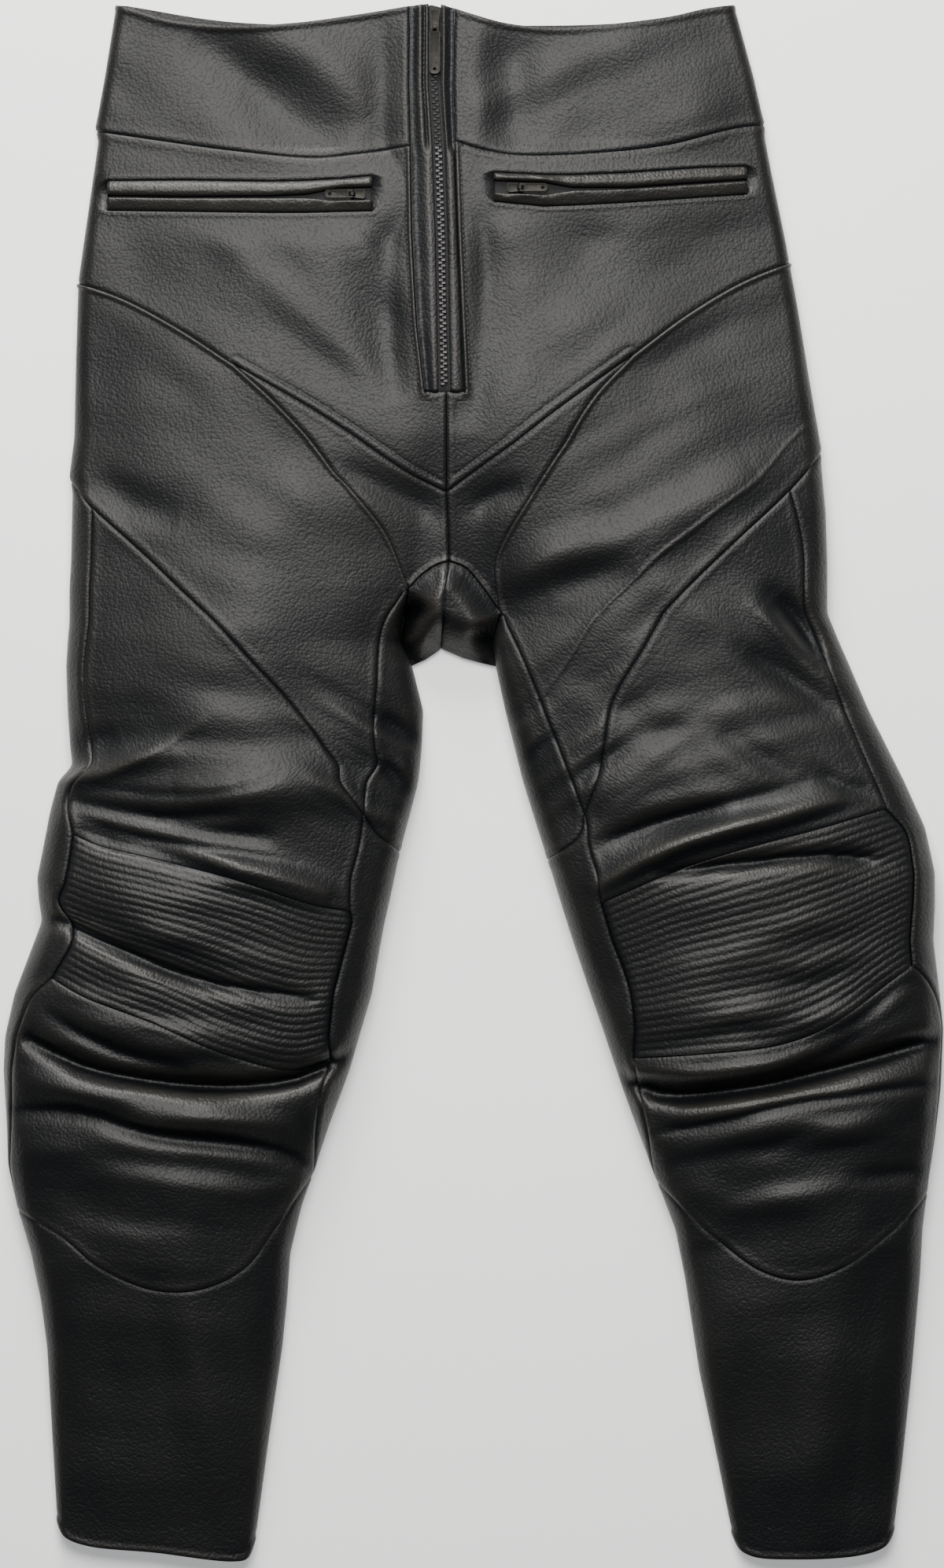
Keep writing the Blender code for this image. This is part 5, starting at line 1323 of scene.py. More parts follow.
@dataclass(frozen=True)
class BlackLeather(Finish):
    """Full-grain black hide with a soft sheen; its colour is painted darker in its folds (painted shade) and lighter on
    its crests (wear and painted highlight).
    """
    name: str = "black_leather"
    dye: tuple = (0.0030, 0.0036, 0.0046, 1)
    # Colour blended in on the crests: wear and painted highlight.
    rubbed_and_lit: tuple = (0.019, 0.0180, 0.0160, 1)
    roughness: float = 0.43
    cells: float = 560.0      # grain cells a metre
    grain_depth: float = 0.00034
    wrinkle_depth: float = 0.0005

    def sockets(self, board: Board) -> dict[str, object]:
        """What goes into the shader's sockets."""
        grain = board.add("Group", node_tree=new_group(
            "pebble_grain", {"Vector": "Vector", "Cells": "Float"}, ("Height", "Fleck"), pebble_grain))
        drawn = board.add("Group", node_tree=new_group(
            "drawn_hide", {"Vector": "Vector", "Turn": "Float"}, ("Wrinkle", "Cloud"), drawn_hide))
        board.wire(grain, {"Vector": board.cut(), "Cells": self.cells})
        board.wire(drawn, {"Vector": board.place(), "Turn": 0.12})
        # Per point: wear and painted highlight on crests, painted shade in troughs.
        worn = board.add("Attribute", attribute_name="worn").outputs["Fac"]
        cloud = drawn.outputs["Cloud"]
        # Blend towards the crest colour: the painted light and shade mask, broken up by the cloudy patches.
        rub_and_painted_light = board.math("MULTIPLY", board.math("POWER", worn, 2.2),
                         board.math("ADD", board.math("MULTIPLY", cloud, 1.4), 0.1))
        rough = board.math("ADD", self.roughness, board.math("MULTIPLY", cloud, 0.16))
        rough = board.math("SUBTRACT", rough, board.math("MULTIPLY", rub_and_painted_light, 0.12))
        wrinkles = board.bump(drawn.outputs["Wrinkle"], 0.2, self.wrinkle_depth)
        return {"Base Color": board.blend(rub_and_painted_light, self.dye, self.rubbed_and_lit),
                "Roughness": board.math("ADD", rough, board.math("MULTIPLY", grain.outputs["Fleck"], -0.06)),
                "Normal": board.bump(grain.outputs["Height"], 0.4, self.grain_depth, Normal=wrinkles),
                "IOR": 1.5, "Specular IOR Level": 0.21, "Coat Weight": 0.05, "Coat Roughness": 0.3}


@dataclass(frozen=True)
class WovenTape(Finish):
    """Black herringbone zip tape."""
    name: str = "woven_tape"
    colour: tuple = (0.0015, 0.0015, 0.002, 1)
    lit: tuple = (0.006, 0.006, 0.007, 1)
    threads: float = 1500.0   # a metre

    def sockets(self, board: Board) -> dict[str, object]:
        """What goes into the shader's sockets."""
        thread = {"Vector": board.cut(), "Scale": self.threads / 6.0}
        weave = board.math("MULTIPLY", *(
            board.add("TexWave", {**thread, "Distortion": bend}, bands_direction=way).outputs["Fac"]
            for way, bend in (("X", 0.4), ("DIAGONAL", 0.0))))
        return {"Base Color": board.blend(weave, self.colour, self.lit), "Roughness": 0.85,
                "Normal": board.bump(weave, 0.8, 0.0002)}


@dataclass(frozen=True)
class ZipMetal(Finish):
    """Plated zip metal, dulled where it is handled."""
    bright: tuple
    dull: tuple
    roughness: float
    metallic: float

    def sockets(self, board: Board) -> dict[str, object]:
        """What goes into the shader's sockets."""
        coords = board.place()
        patches = board.noise(coords, 420.0, 4.0)
        return {"Base Color": board.blend(patches, self.bright, self.dull), "Metallic": self.metallic,
                "Roughness": board.math("ADD", self.roughness, board.math("MULTIPLY", patches, 0.18)),
                "Normal": board.bump(board.noise(coords, 5200.0), 0.25, 0.00005)}


@dataclass(frozen=True)
class Thread(Finish):
    """Black twisted sewing thread."""
    name: str = "black_thread"
    colour: tuple = (0.014, 0.014, 0.015, 1)
    lit: tuple = (0.05, 0.05, 0.05, 1)
    twists: float = 900.0     # a metre

    def sockets(self, board: Board) -> dict[str, object]:
        """What goes into the shader's sockets."""
        wave = board.add("TexWave", {"Vector": board.place(), "Scale": self.twists}, bands_direction="DIAGONAL")
        twist = wave.outputs["Fac"]
        return {"Base Color": board.blend(twist, self.colour, self.lit), "Roughness": 0.55,
                "Normal": board.bump(twist, 0.6, 0.0001)}


@dataclass(frozen=True)
class PaleFloor(Finish):
    """A pale, faintly lit floor."""
    name: str = "pale_floor"

    def sockets(self, board: Board) -> dict[str, object]:
        """What goes into the shader's sockets."""
        mottle = board.noise(board.place(), 3.0)
        return {"Base Color": board.blend(mottle, (0.86, 0.86, 0.86, 1), (0.9, 0.9, 0.9, 1)), "Roughness": 0.9,
                "Emission Color": (1, 1, 1, 1), "Emission Strength": 0.4}


# ---- leather pieces
@dataclass
class Leatherwork:
    """A sub-assembly of leather panels that both sides have."""
    trim: Trim
    books: dict[str, SeamBook]

    def build(self) -> None:
        """Makes the pieces of each side."""
        for name in self.books:
            self.side(name)

    def side(self, name: str) -> None:
        """Makes the pieces of one side."""
        raise NotImplementedError

    def cut(self, node: str, name: str, seams: str, under: str, **more: object) -> None:
        """Cuts a panel.

        Args:
            node: The solid that it stands for, without its side.
            name: The side.
            seams: Its outline, as SeamBook.outline reads it.
            under: The node of the same side that it rests on.
            more: What else Trim.panel is given.
        """
        self.trim.panel(f"{node}_{name}", SIDES[name], self.books[name].outline(seams),
                        rests_on=[f"{under}_{name}"] if under else (), **more)


class Waistband(Leatherwork):
    """The waistband: two front halves, and one strip across the back."""

    def side(self, name: str) -> None:
        """Makes a front half."""
        self.trim.panel(f"waistband_front_{name}", SIDES[name],
                        self.books[name].outline("waist:turned fly_upper band- under_band-:hidden"),
                        rests_on=["waistband_back"])

    def build(self) -> None:
        """Makes the three pieces."""
        super().build()
        side = SIDES["right"]
        ends = [SIDES[name].point(*seams["under_band"].T)[:, :2] for name, seams in self.books.items()]
        top = smooth_curve([ends[0][0], (-150, 10), (-20, 12), (100, 10), ends[1][0]], BACK_STEP)
        low = smooth_curve([ends[1][-1], (BACK_CENTRE, BACK_BAND), ends[0][-1]], BACK_STEP)
        runs = [Run(on_floor(side, line), edge) for line, edge in (
            (top, Edge.TURNED), (ends[1], Edge.HIDDEN), (low, Edge.SEWN), (ends[0][::-1], Edge.HIDDEN))]
        self.trim.panel("waistband_back", side, runs, coarse_below=side.under_outer, relief=Back.relief(side))


class HipFronts(Leatherwork):
    """The hips' front panels, from the waistband to the V seam, each with a pocket window."""

    def side(self, name: str) -> None:
        """Makes one."""
        top, bottom = (pocket_line(name, line) for line in ("top", "bottom"))
        self.cut("hip_front", name, "band fly_lower:lip fly_base centre_upper v-:stitched hip_curve_outer-:tucked "
                 "under_hip-:hidden", "seat", holes=[on_ring(SIDES[name], np.vstack([top, bottom[::-1]]))])


class Crotch(Leatherwork):
    """The crotch's front panels and the gusset under them."""

    FLANK_POINTS = 24
    FLANK_OFF = 0.3           # the gusset starts this far past the inner fold's edge

    def side(self, name: str) -> None:
        """Makes a front panel and its half of the gusset, arched between the thighs."""
        self.cut("crotch_front", name, "v centre_lower gusset_top:lip hip_curve_inner-:tucked", "seat")
        side = SIDES[name]
        top, centre = (walk(smooth_curve(line)) for line in (SEAMS[name]["gusset_top"], CENTRE_SEAM["centre_gusset"]))
        toe = walk(np.array(CROTCH[name], float))
        downs = np.linspace(top[-1][1], toe[-1][1], self.FLANK_POINTS)
        flank = np.stack([at(side.inner, downs) + side.sign * self.FLANK_OFF, downs], axis=1)
        flank[0], flank[-1] = top[-1], toe[-1]
        self.trim.panel(f"gusset_{name}", GussetForm(name),
                        [Run(top, Edge.TUCKED), Run(flank, Edge.HIDDEN), Run(toe[::-1], Edge.HIDDEN),
                         Run(centre[::-1], Edge.SEWN)], gap=2 * HALF_GAP, rests_on=[f"seat_{name}"])


class Thighs(Leatherwork):
    """The thighs: front, lower and inner panels."""

    def side(self, name: str) -> None:
        """Makes three panels."""
        for node, seams in (
                ("thigh_front", "hip_curve_outer:lip hip_curve_inner:lip inner_thigh diagonal- diagonal_outer- "
                                "under_thigh-:hidden"),
                ("lower_thigh", "diagonal inner_above_knee knee_top- side_thigh-"),
                ("inner_thigh", "inner_thigh inner_end inside_thigh-:hidden")):
            self.cut(node, name, seams, "back_leg")


@dataclass
class Knees(Leatherwork):
    """The stitched ribs over each knee and the padded panel under them."""
    valley: float = 0.06      # depth of the stitching between two ribs
    crest: float = 0.36       # crown of a rib
    end: float = 0.022        # share of the panel over which the ribs run out
    across: float = 190.0     # rough size of the panel, for the ribs' unevenness
    along: float = 110.0

    def side(self, name: str) -> None:
        """Makes the two panels of a knee."""
        edges = (self.books[name][seam] for seam in ("knee_top", "knee_bottom", "side_knee", "inner_knee"))
        self.trim.finish(f"knee_ribbed_{name}", coons(SIDES[name], *edges, self.ribs(SIDES[name].seed)))
        self.cut("knee_pad", name, "knee_bottom inner_calf cup_over- side_calf-", "back_leg")

    def ribs(self, seed: int) -> Relief:
        """Rounded ribs, each a little uneven, run out at the panel's ends."""
        def relief(u: Array, v: Array) -> Array:
            """Height at each point of the panel."""
            x, down = u * self.across, v * self.along
            phase = v * RIB_COUNT + 0.10 * wander(x, down, 22.0, seed)
            rib = np.abs(np.sin(math.pi * phase)) ** 1.1
            full = 0.86 + 0.16 * wander(x, down, 16.0, seed + 3)
            ends = smoothstep(0.0, self.end, u) * smoothstep(0.0, self.end, 1 - u)
            return (rib * (self.crest + self.valley) * full - self.valley) * ends - 1.0 * (1 - ends)
        return relief


class LowerLegs(Leatherwork):
    """The inner calf panels and the shins."""

    def side(self, name: str) -> None:
        """Makes two panels."""
        for node, seams in (
                ("inner_calf", "inner_above_knee inner_knee inner_calf cup_inner_wrap inside_calf-:hidden inner_end-"),
                ("shin", "cup_outer_wrap cup_over:tucked cup_inner_wrap inside_shin:hidden hem-:turned "
                         "under_shin-:hidden")):
            self.cut(node, name, seams, "back_leg")


class Back(Leatherwork):
    """The seat and the back of each leg, flat where they rest."""

    BAND_STEPS = 50
    CROTCH_GAP = 0.3          # the seat ends this far above the crotch
    FOLDS = crease_rows("""
        4 -1.1 -235,505 -180,522 -110,515; 5 -1.2 -250,545 -190,560 -105,548; 4.5 -1.2 -262,590 -200,578 -110,596; 5
        -1.1 -270,640 -200,655 -115,640; 5 -0.9 -262,700 -190,690 -125,706; 5 -1.1 -205,330 -140,372 -70,402; 6 -0.9
        -200,200 -120,245 -50,310
    """)

    @staticmethod
    def relief(side: SideForm) -> Relief:
        """Creases pressed up into the underside, none below the floor."""
        def height(girth: Array, down: Array) -> Array:
            """Height at each point, 0 or below underneath."""
            x = side.sign * side.point(girth, down, False)[:, 0]
            under = smoothstep(-4.0, -12.0, girth - side.under_outer(down))
            rise = -0.25 * (1 + wander(x, down * 2.0, 30.0, side.seed + 20))
            for crease in Back.FOLDS:
                away, along = nearest(crease.line, x + 3 * wander(x, down, 40.0, side.seed), down)
                fade = np.sin(np.pi * np.clip(along * 0.94 + 0.03, 0, 1)) ** 0.6
                rise = rise + crease.rise * fade * hump(away, 0.0, crease.width)
            return rise * under
        return height

    def side(self, name: str) -> None:
        """Makes a seat and a back leg."""
        side, seams = SIDES[name], self.books[name]
        end = CROTCH[name][0][1] - self.CROTCH_GAP
        downs = np.append(np.arange(BACK_BAND, end, BACK_STEP), end)
        centre = on_floor(side, np.stack([np.full(len(downs), BACK_CENTRE), downs], axis=1))
        band = evenly(np.vstack([seams["band"][:1], centre[:1]]), self.BAND_STEPS)
        self.trim.panel(f"seat_{name}", side,
                        [Run(band, Edge.SEWN), Run(centre, Edge.SEWN), Run(seams["seat"][::-1], Edge.SEWN),
                         Run(seams["under_seat"][::-1], Edge.HIDDEN)],
                        coarse_below=side.under_outer, relief=self.relief(side))
        self.cut("back_leg", name, "seat crotch inner_floor:hidden hem_back-:turned under_shin-:hidden "
                 "cup_outer_wrap side_calf- side_knee- side_thigh- diagonal_outer-", "",
                 coarse_below=lambda down: side.under_outer(down) - BACK_STARTS, relief=self.relief(side))


# ---- zips
def pocket_line(name: str, line: str, gaps: float = 0.0, shift: float = 0.0) -> Array:
    """A pocket's line in plan, evenly across.

    Args:
        name: The pocket's side.
        line: "top", "middle" or "bottom".
        gaps: How many times the gap between the welts it is moved down.
        shift: How far more it is moved down.

    Returns:
        Its points.
    """
    table = POCKETS[name]
    xs = np.linspace(table[0].x, table[-1].x, 84)
    downs = np.interp(xs, [row.x for row in table], [getattr(row, line) + gaps * row.gap for row in table])
    return np.stack([xs, downs + shift], axis=1)


@dataclass
class Tape:
    """A strip of woven tape under a zip's teeth."""
    material: Material
    thickness: float = 0.8

    def lay(self, node: str, form: Form, lines: Sequence[Array]) -> None:
        """Makes the strip between four edges: top, bottom, first and last."""
        coons(form, *lines).make(f"cloth_{node}", node, self.material, "zip_tape",
                                 thickness=self.thickness, lift=-(LEATHER + CLEAR))


@dataclass
class Pockets:
    """The front zip pockets: two rolled welts over a tape, puckered open at the slider."""
    trim: Trim
    tape: Tape
    roll: float = 1.5         # crown of a welt
    tape_half: float = 7.0
    open_gap: float = 4.0     # between the welts at the slider

    def build(self) -> None:
        """Makes both pockets."""
        for name, side in SIDES.items():
            for part, high, low, lean, rise in (
                    ("upper", pocket_line(name, "top"), pocket_line(name, "middle", gaps=-1.0), 1.35, 1.1),
                    ("lower", pocket_line(name, "middle", gaps=1.0), pocket_line(name, "bottom"), 0.36, 1.7)):
                edges = (on_ring(side, line) for line in (high, low, *across(high, low, 10)))
                self.trim.finish(f"pocket_welt_{part}_{name}",
                                 coons(side, *edges, self._rolled(name, side.seed + len(part), lean, rise)))
            over, under = (pocket_line(name, "middle", shift=shift) for shift in (-self.tape_half, self.tape_half))
            self.tape.lay(f"pocket_zip_{name}", side,
                          [on_ring(side, line) for line in (over, under, *across(over, under, 4))])

    def _rolled(self, name: str, seed: int, lean: float, rise: float) -> Relief:
        """A welt's rolled crown, drawn into small puckers where the zip is open.

        Args:
            name: The pocket's side.
            seed: Picks the puckers.
            lean: Above 1 the crown leans to the low edge, below 1 to the high one.
            rise: How many times the roll it stands up.

        Returns:
            The relief.
        """
        table = POCKETS[name]

        def relief(u: Array, v: Array) -> Array:
            """Height at each point of the welt."""
            x = table[0].x + u * (table[-1].x - table[0].x)
            parted = column(table, "gap", x, "x") / self.open_gap
            crown = np.sin(math.pi * np.clip(v, 0, 1) ** lean) ** 0.6
            pucker = wander(x, v * 10, 7.0, seed) * (0.12 + 0.85 * parted)
            return (rise * self.roll + 0.5 * parted + pucker) * crown - 0.6 * (1 - crown)
        return relief


@dataclass
class Fly:
    """The fly: a welt each side of its slot, and the tape under them."""
    trim: Trim
    tape: Tape
    columns: int = 24         # of points across a welt
    steps: int = 112          # rows of points down it
    tape_half: float = 12.0
    band_ends: tuple[float, float] = (0.35, 0.39)     # shares of the way down
    ridges: dict[str, tuple[tuple[Profile, ...], ...]] = field(default_factory=lambda: {   # on the band, below it
        "right": (rows(Profile, "0.12 0.26 -1.3; 0.55 0.17 1; 0.77 0.06 -1.1; 0.91 0.1 0.4"),
                  rows(Profile, "0.22 0.24 -1.3; 0.78 0.22 0.8")),
        "left": (rows(Profile, "0.2 0.28 -1.3; 0.76 0.16 1"),
                 rows(Profile, "0 0.12 -1.1; 0.55 0.35 0.7; 1 0.1 -0.5")),
    })

    def build(self) -> None:
        """Makes the welts and the tape."""
        plan = PlanForm()
        for name, way in (("right", -1), ("left", 1)):
            edges = self._edge(name, 0.0), self._edge("zip", way * SLOT_HALF)
            patch = coons(plan, *across(*edges, self.columns), *edges, self._profile(name))
            self.trim.finish(f"fly_welt_{name}", patch)
        first, last = (evenly(self._edge("zip", shift) + (0, 1.4), 60) for shift in (-self.tape_half, self.tape_half))
        top = evenly(np.array([first[0], (-26.0, 0.7), last[0]]), 12)
        self.tape.lay("fly_tape", plan, (top, evenly(np.array([first[-1], last[-1]]), 12), first, last))

    def _edge(self, name: str, shift: float) -> Array:
        """One long edge of a welt, from the waist to the fly's base."""
        waist, start = np.array(WAIST_OVER_FLY), 1.5
        for _ in range(3):
            start = float(np.interp(column(FLY, name, start) + shift, waist[:, 0], waist[:, 1]))
        downs = np.linspace(start, FLY_BASE, self.steps + 1)
        return np.stack([column(FLY, name, downs) + shift, downs], axis=1)

    def _profile(self, name: str) -> Relief:
        """The welt's ridges and stitched grooves, along its whole length."""
        def relief(u: Array, v: Array) -> Array:
            """Height at each point of the welt."""
            past, down = smoothstep(*self.band_ends, v), v * 240
            shift = 0.02 * wander(down, u * 0, 30.0, len(name))
            height = sum(share * relief_of(ridges, u - shift)
                         for ridges, share in zip(self.ridges[name], (1 - past, past)))
            return height * (0.92 + 0.12 * wander(down, u * 3, 14.0, 5))
        return relief


# ---- metal and thread
def applied() -> Object:
    """The new primitive, its place moved into its mesh."""
    bpy.ops.object.transform_apply(location=True, rotation=True, scale=True)
    return bpy.context.active_object


def block(low: Sequence[float], high: Sequence[float]) -> Object:
    """A box between two corners, alone in the selection."""
    deselect()
    low, high = Vector(low), Vector(high)
    bpy.ops.mesh.primitive_cube_add(size=1.0, location=(low + high) / 2)
    bpy.context.active_object.scale = high - low
    return applied()


def rod(middle: Sequence[float], radius: float, half: float, turn: float = QUARTER, sides: int = 20) -> Object:
    """A rod through a point, across the zip unless it is turned upright."""
    deselect()
    bpy.ops.mesh.primitive_cylinder_add(vertices=sides, radius=radius, depth=2 * half, location=middle,
                                        rotation=(turn, 0, 0))
    return applied()


def reshape(obj: Object, kind: str, test: Callable[[Vector], bool], operator: Callable, **settings: object) -> None:
    """Runs one edit-mode operator on the parts of a mesh that are picked by their place.

    Args:
        obj: The piece, already active.
        kind: "EDGE" or "FACE".
        test: Whether a part is picked, from its middle.
        operator: The operator.
        settings: Its settings.
    """
    bpy.ops.object.mode_set(mode="EDIT")
    bpy.ops.mesh.select_mode(type=kind)
    bpy.ops.mesh.select_all(action="DESELECT")
    bm = bmesh.from_edit_mesh(obj.data)
    for part in list(bm.edges if kind == "EDGE" else bm.faces):
        if test(sum((vert.co for vert in part.verts), Vector()) / len(part.verts)):
            part.select_set(True)
    bmesh.update_edit_mesh(obj.data)
    operator(**settings)
    bpy.ops.object.mode_set(mode="OBJECT")


def bevel(obj: Object, test: Callable[[Vector], bool], offset: float, segments: int) -> None:
    """Rounds the edges that are picked by their middles."""
    reshape(obj, "EDGE", test, bpy.ops.mesh.bevel, offset=offset, segments=segments, affect="EDGES")


def pick(*pieces: Object) -> None:
    """Selects these pieces alone, the first one active."""
    deselect()
    for piece in pieces:
        piece.select_set(True)
    bpy.context.view_layer.objects.active = pieces[0]


def modified(obj: Object, kind: str, **settings: object) -> None:
    """Adds a modifier and applies it."""
    change = obj.modifiers.new("change", kind)
    for name, value in settings.items():
        setattr(change, name, value)
    pick(obj)
    bpy.ops.object.modifier_apply(modifier=change.name)


def soften(obj: Object, width: float, segments: int, degrees: float) -> None:
    """Eases every edge sharper than an angle."""
    modified(obj, "BEVEL", width=width, segments=segments, limit_method="ANGLE", angle_limit=math.radians(degrees))


def cut_away(obj: Object, tool: Object) -> None:
    """Cuts one piece out of another."""
    modified(obj, "BOOLEAN", operation="DIFFERENCE", solver="EXACT", object=tool)
    bpy.data.objects.remove(tool, do_unlink=True)


def joined(pieces: Sequence[Object]) -> Object:
    """Several pieces as one object."""
    pick(*pieces)
    bpy.ops.object.join()
    return pieces[0]


def taken_apart(obj: Object) -> Unit:
    """The points and faces of a small piece, which is then removed."""
    points = np.array([tuple(vert.co) for vert in obj.data.vertices])
    faces = [list(face.vertices) for face in obj.data.polygons]
    bpy.data.objects.remove(obj, do_unlink=True)
    return points, faces


def scattered(name: str, shape: Unit, spots: Array, along: Array, up: Array) -> Object:
    """One piece made of a small shape at many places.

    Args:
        name: Of the piece.
        shape: The small shape, in millimetres.
        spots: Where each copy goes, in metres.
        along: Unit vector of the shape's x axis, for each copy.
        up: Unit vector of its z axis.

    Returns:
        The object.
    """
    points, faces = shape
    frames = np.stack([along, np.cross(up, along), up], axis=1)
    places = spots[:, None] + np.einsum("pk,nkj->npj", points, frames) * MM
    mesh = bpy.data.meshes.new(name)
    mesh.from_pydata(places.reshape(-1, 3).tolist(), [], [
        [copy * len(points) + corner for corner in face] for copy in range(len(spots)) for face in faces])
    return linked(name, mesh)


@dataclass
class Teeth:
    """Two rows of interlocked zip teeth, deeper where the waistband's welts close over them, and made there of a darker
    copy of the metal: painted shade.
    """
    # The upper stretch's metal is a darker copy of the steel: painted shade under the welts.
    shaded: Material
    rubbed_and_lit: Material
    pitch: float = 3.6        # of each row; the rows are half a pitch apart
    width: float = 2.9
    length: float = 2.0
    height: float = 1.5
    reach: float = 0.85       # a tooth's middle is this far beside the zip's
    sunk: float = 1.0         # how much deeper the upper stretch lies
    upper: tuple[float, float] = (22.0, 90.0)
    lower: tuple[float, float] = (90.4, FLY_BASE - 4.0)

    def _tooth(self) -> Unit:
        """One tooth, its head narrowed and its edges eased."""
        half = Vector((self.width, self.length, self.height)) / 2
        obj = block(-half, half)
        reshape(obj, "FACE", lambda spot: spot.x > half.x - 0.1, bpy.ops.transform.resize, value=(1, 0.72, 1))
        bevel(obj, lambda spot: True, 0.32, 1)
        return taken_apart(obj)

    def build(self) -> None:
        """Sets both stretches of the two rows."""
        for name, ends, sunk, metal in (("upper", self.upper, self.sunk, self.shaded),
                                        ("lower", self.lower, 0.0, self.rubbed_and_lit)):
            downs = np.arange(*ends, self.pitch / 2)
            row = np.where(np.arange(len(downs)) % 2, 1.0, -1.0)
            before, middle, after = (column(FLY, "zip", downs + step) for step in (-1, 0, 1))
            place = PlanForm().point(middle, downs)
            place[:, 0] += row * self.reach
            place[:, 2] -= CLEAR + self.height / 2 + sunk
            along = unit(np.stack([-row, -row * (after - before) / 2, 0 * row], axis=1))
            up = np.tile((0.0, 0.0, 1.0), (len(row), 1))
            obj = scattered(f"zip_teeth_{name}", self._tooth(), to_model(place), along, up)
            dress(obj, metal, "fly_teeth")


@dataclass
class Slider:
    """A zip slider with its eye, and the pull tab hinged in it."""
    BODY_LOW = -1.4           # of the body under and over the leather's face
    BODY_HIGH = 1.5
    EYE = Vector((3.6, 2.2, 3.0))    # along, across, up
    EAR = 1.1
    EAR_ROUND = 0.95          # how far an ear reaches round the pin
    PLATE = 1.1               # thickness of the tab
    PIN = 0.6                 # its radius
    zip: str                  # its nodes are named for it
    metal: Material
    turn: float               # degrees from +x to the way the tab lies
    length: float
    width: float
    tab_length: float
    tab_width: float

    def build(self) -> None:
        """Makes the slider and its tab where the solids are."""
        stem, _, side = self.zip.partition("_")
        slider, pull = ("_".join(filter(None, (stem, part, side))) for part in ("slider", "pull"))
        low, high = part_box(slider)
        spot = Vector(((low.x + high.x) / 2, (low.y + high.y) / 2, low.z - self.BODY_LOW * MM))
        self.eye = Vector(((self.length - self.EYE.x) / 2, 0, self.BODY_HIGH + self.EYE.z / 2))
        place = Matrix.Translation(spot) @ Matrix.Rotation(math.radians(self.turn), 4, "Z") @ Matrix.Scale(MM, 4)
        for obj, node, body in ((self._body(), slider, TRUNK), (self._tab(), pull, pull)):
            obj.name = obj.data.name = f"metal_{node}"
            obj.data.transform(place)
            pick(obj)
            bpy.ops.object.shade_smooth_by_angle(angle=math.radians(38))
            dress(obj, self.metal, node, body)

    def _body(self) -> Object:
        """The shield-shaped body, wide where the rows come in, and the arched eye on it."""
        half, side, middle = self.length / 2, self.width / 2, (self.BODY_LOW + self.BODY_HIGH) / 2
        body = block((-half, -side, self.BODY_LOW), (half, side, self.BODY_HIGH))
        reshape(body, "FACE", lambda spot: spot.x > half - 0.1, bpy.ops.transform.resize, value=(1, 0.7, 1))
        for end, offset in ((-1, 1.9), (1, 1.0)):
            bevel(body, lambda spot, end=end: abs(spot.z - middle) < 0.1 and spot.x * end > half - 0.1, offset, 4)
        for test, thickness, depth in ((lambda spot: abs(spot.z - middle) < 0.1, 0.8, -0.55),
                                       (lambda spot: spot.z > self.BODY_HIGH - 0.05, 0.75, -0.2)):
            reshape(body, "FACE", test, bpy.ops.mesh.inset, thickness=thickness, depth=depth)
        soften(body, 0.2, 2, 40)
        reach = Vector((self.EYE.x / 2, self.EYE.y / 2, self.EYE.z / 2 + 0.5))
        arch = block(self.eye - reach, self.eye + self.EYE / 2)
        bevel(arch, lambda spot: spot.z > self.eye.z + 1.4 and abs(spot.x - self.eye.x) > 1.7, 1.2, 5)
        soften(arch, 0.14, 1, 50)
        cut_away(arch, rod(self.eye, 1.0, self.EYE.y))
        return joined([body, arch])

    def _tab(self) -> Object:
        """The tab: a rimmed plate with a ringed hole, two ears and the pin."""
        start, end, thick = self.eye.x + self.EYE.x / 2 + 0.6, self.eye.x + self.tab_length, self.PLATE / 2
        side, height = self.tab_width / 2, self.eye.z
        plate = block((start, -side, height - thick), (end, side, height + thick))
        for x, offset in ((start, 0.9), (end, 0.42 * self.tab_width)):
            bevel(plate, lambda spot, x=x: abs(spot.z - height) < 0.1 and abs(spot.x - x) < 0.1, offset, 5)
        reshape(plate, "FACE", lambda spot: abs(spot.z - height) > thick - 0.05, bpy.ops.mesh.inset,
                thickness=0.7, depth=-0.2, use_individual=True)
        soften(plate, 0.13, 2, 40)
        hole = (end - 3.0, 0, height)
        cut_away(plate, rod(hole, 1.1, 3.0, turn=0.0, sides=24))
        deselect()
        bpy.ops.mesh.primitive_torus_add(location=hole, major_radius=1.38, minor_radius=0.36, major_segments=28,
                                         minor_segments=10)
        pieces, near = [plate, applied()], self.EYE.y / 2 + CLEAR
        for edge in (-1, 1):
            low, high = sorted((edge * near, edge * (near + self.EAR)))
            ear = block((self.eye.x - self.EAR_ROUND, low, height - self.EAR_ROUND),
                        (start + 1.0, high, height + self.EAR_ROUND))
            reshape(ear, "FACE", lambda spot: spot.x > start + 0.9, bpy.ops.transform.resize, value=(1, 1, 0.5))
            bevel(ear, lambda spot: spot.x < self.eye.x and abs(spot.z - height) > 0.9, 0.85, 5)
            pieces.append(ear)
        return joined(pieces + [rod(self.eye, self.PIN, near + self.EAR - 0.2)])


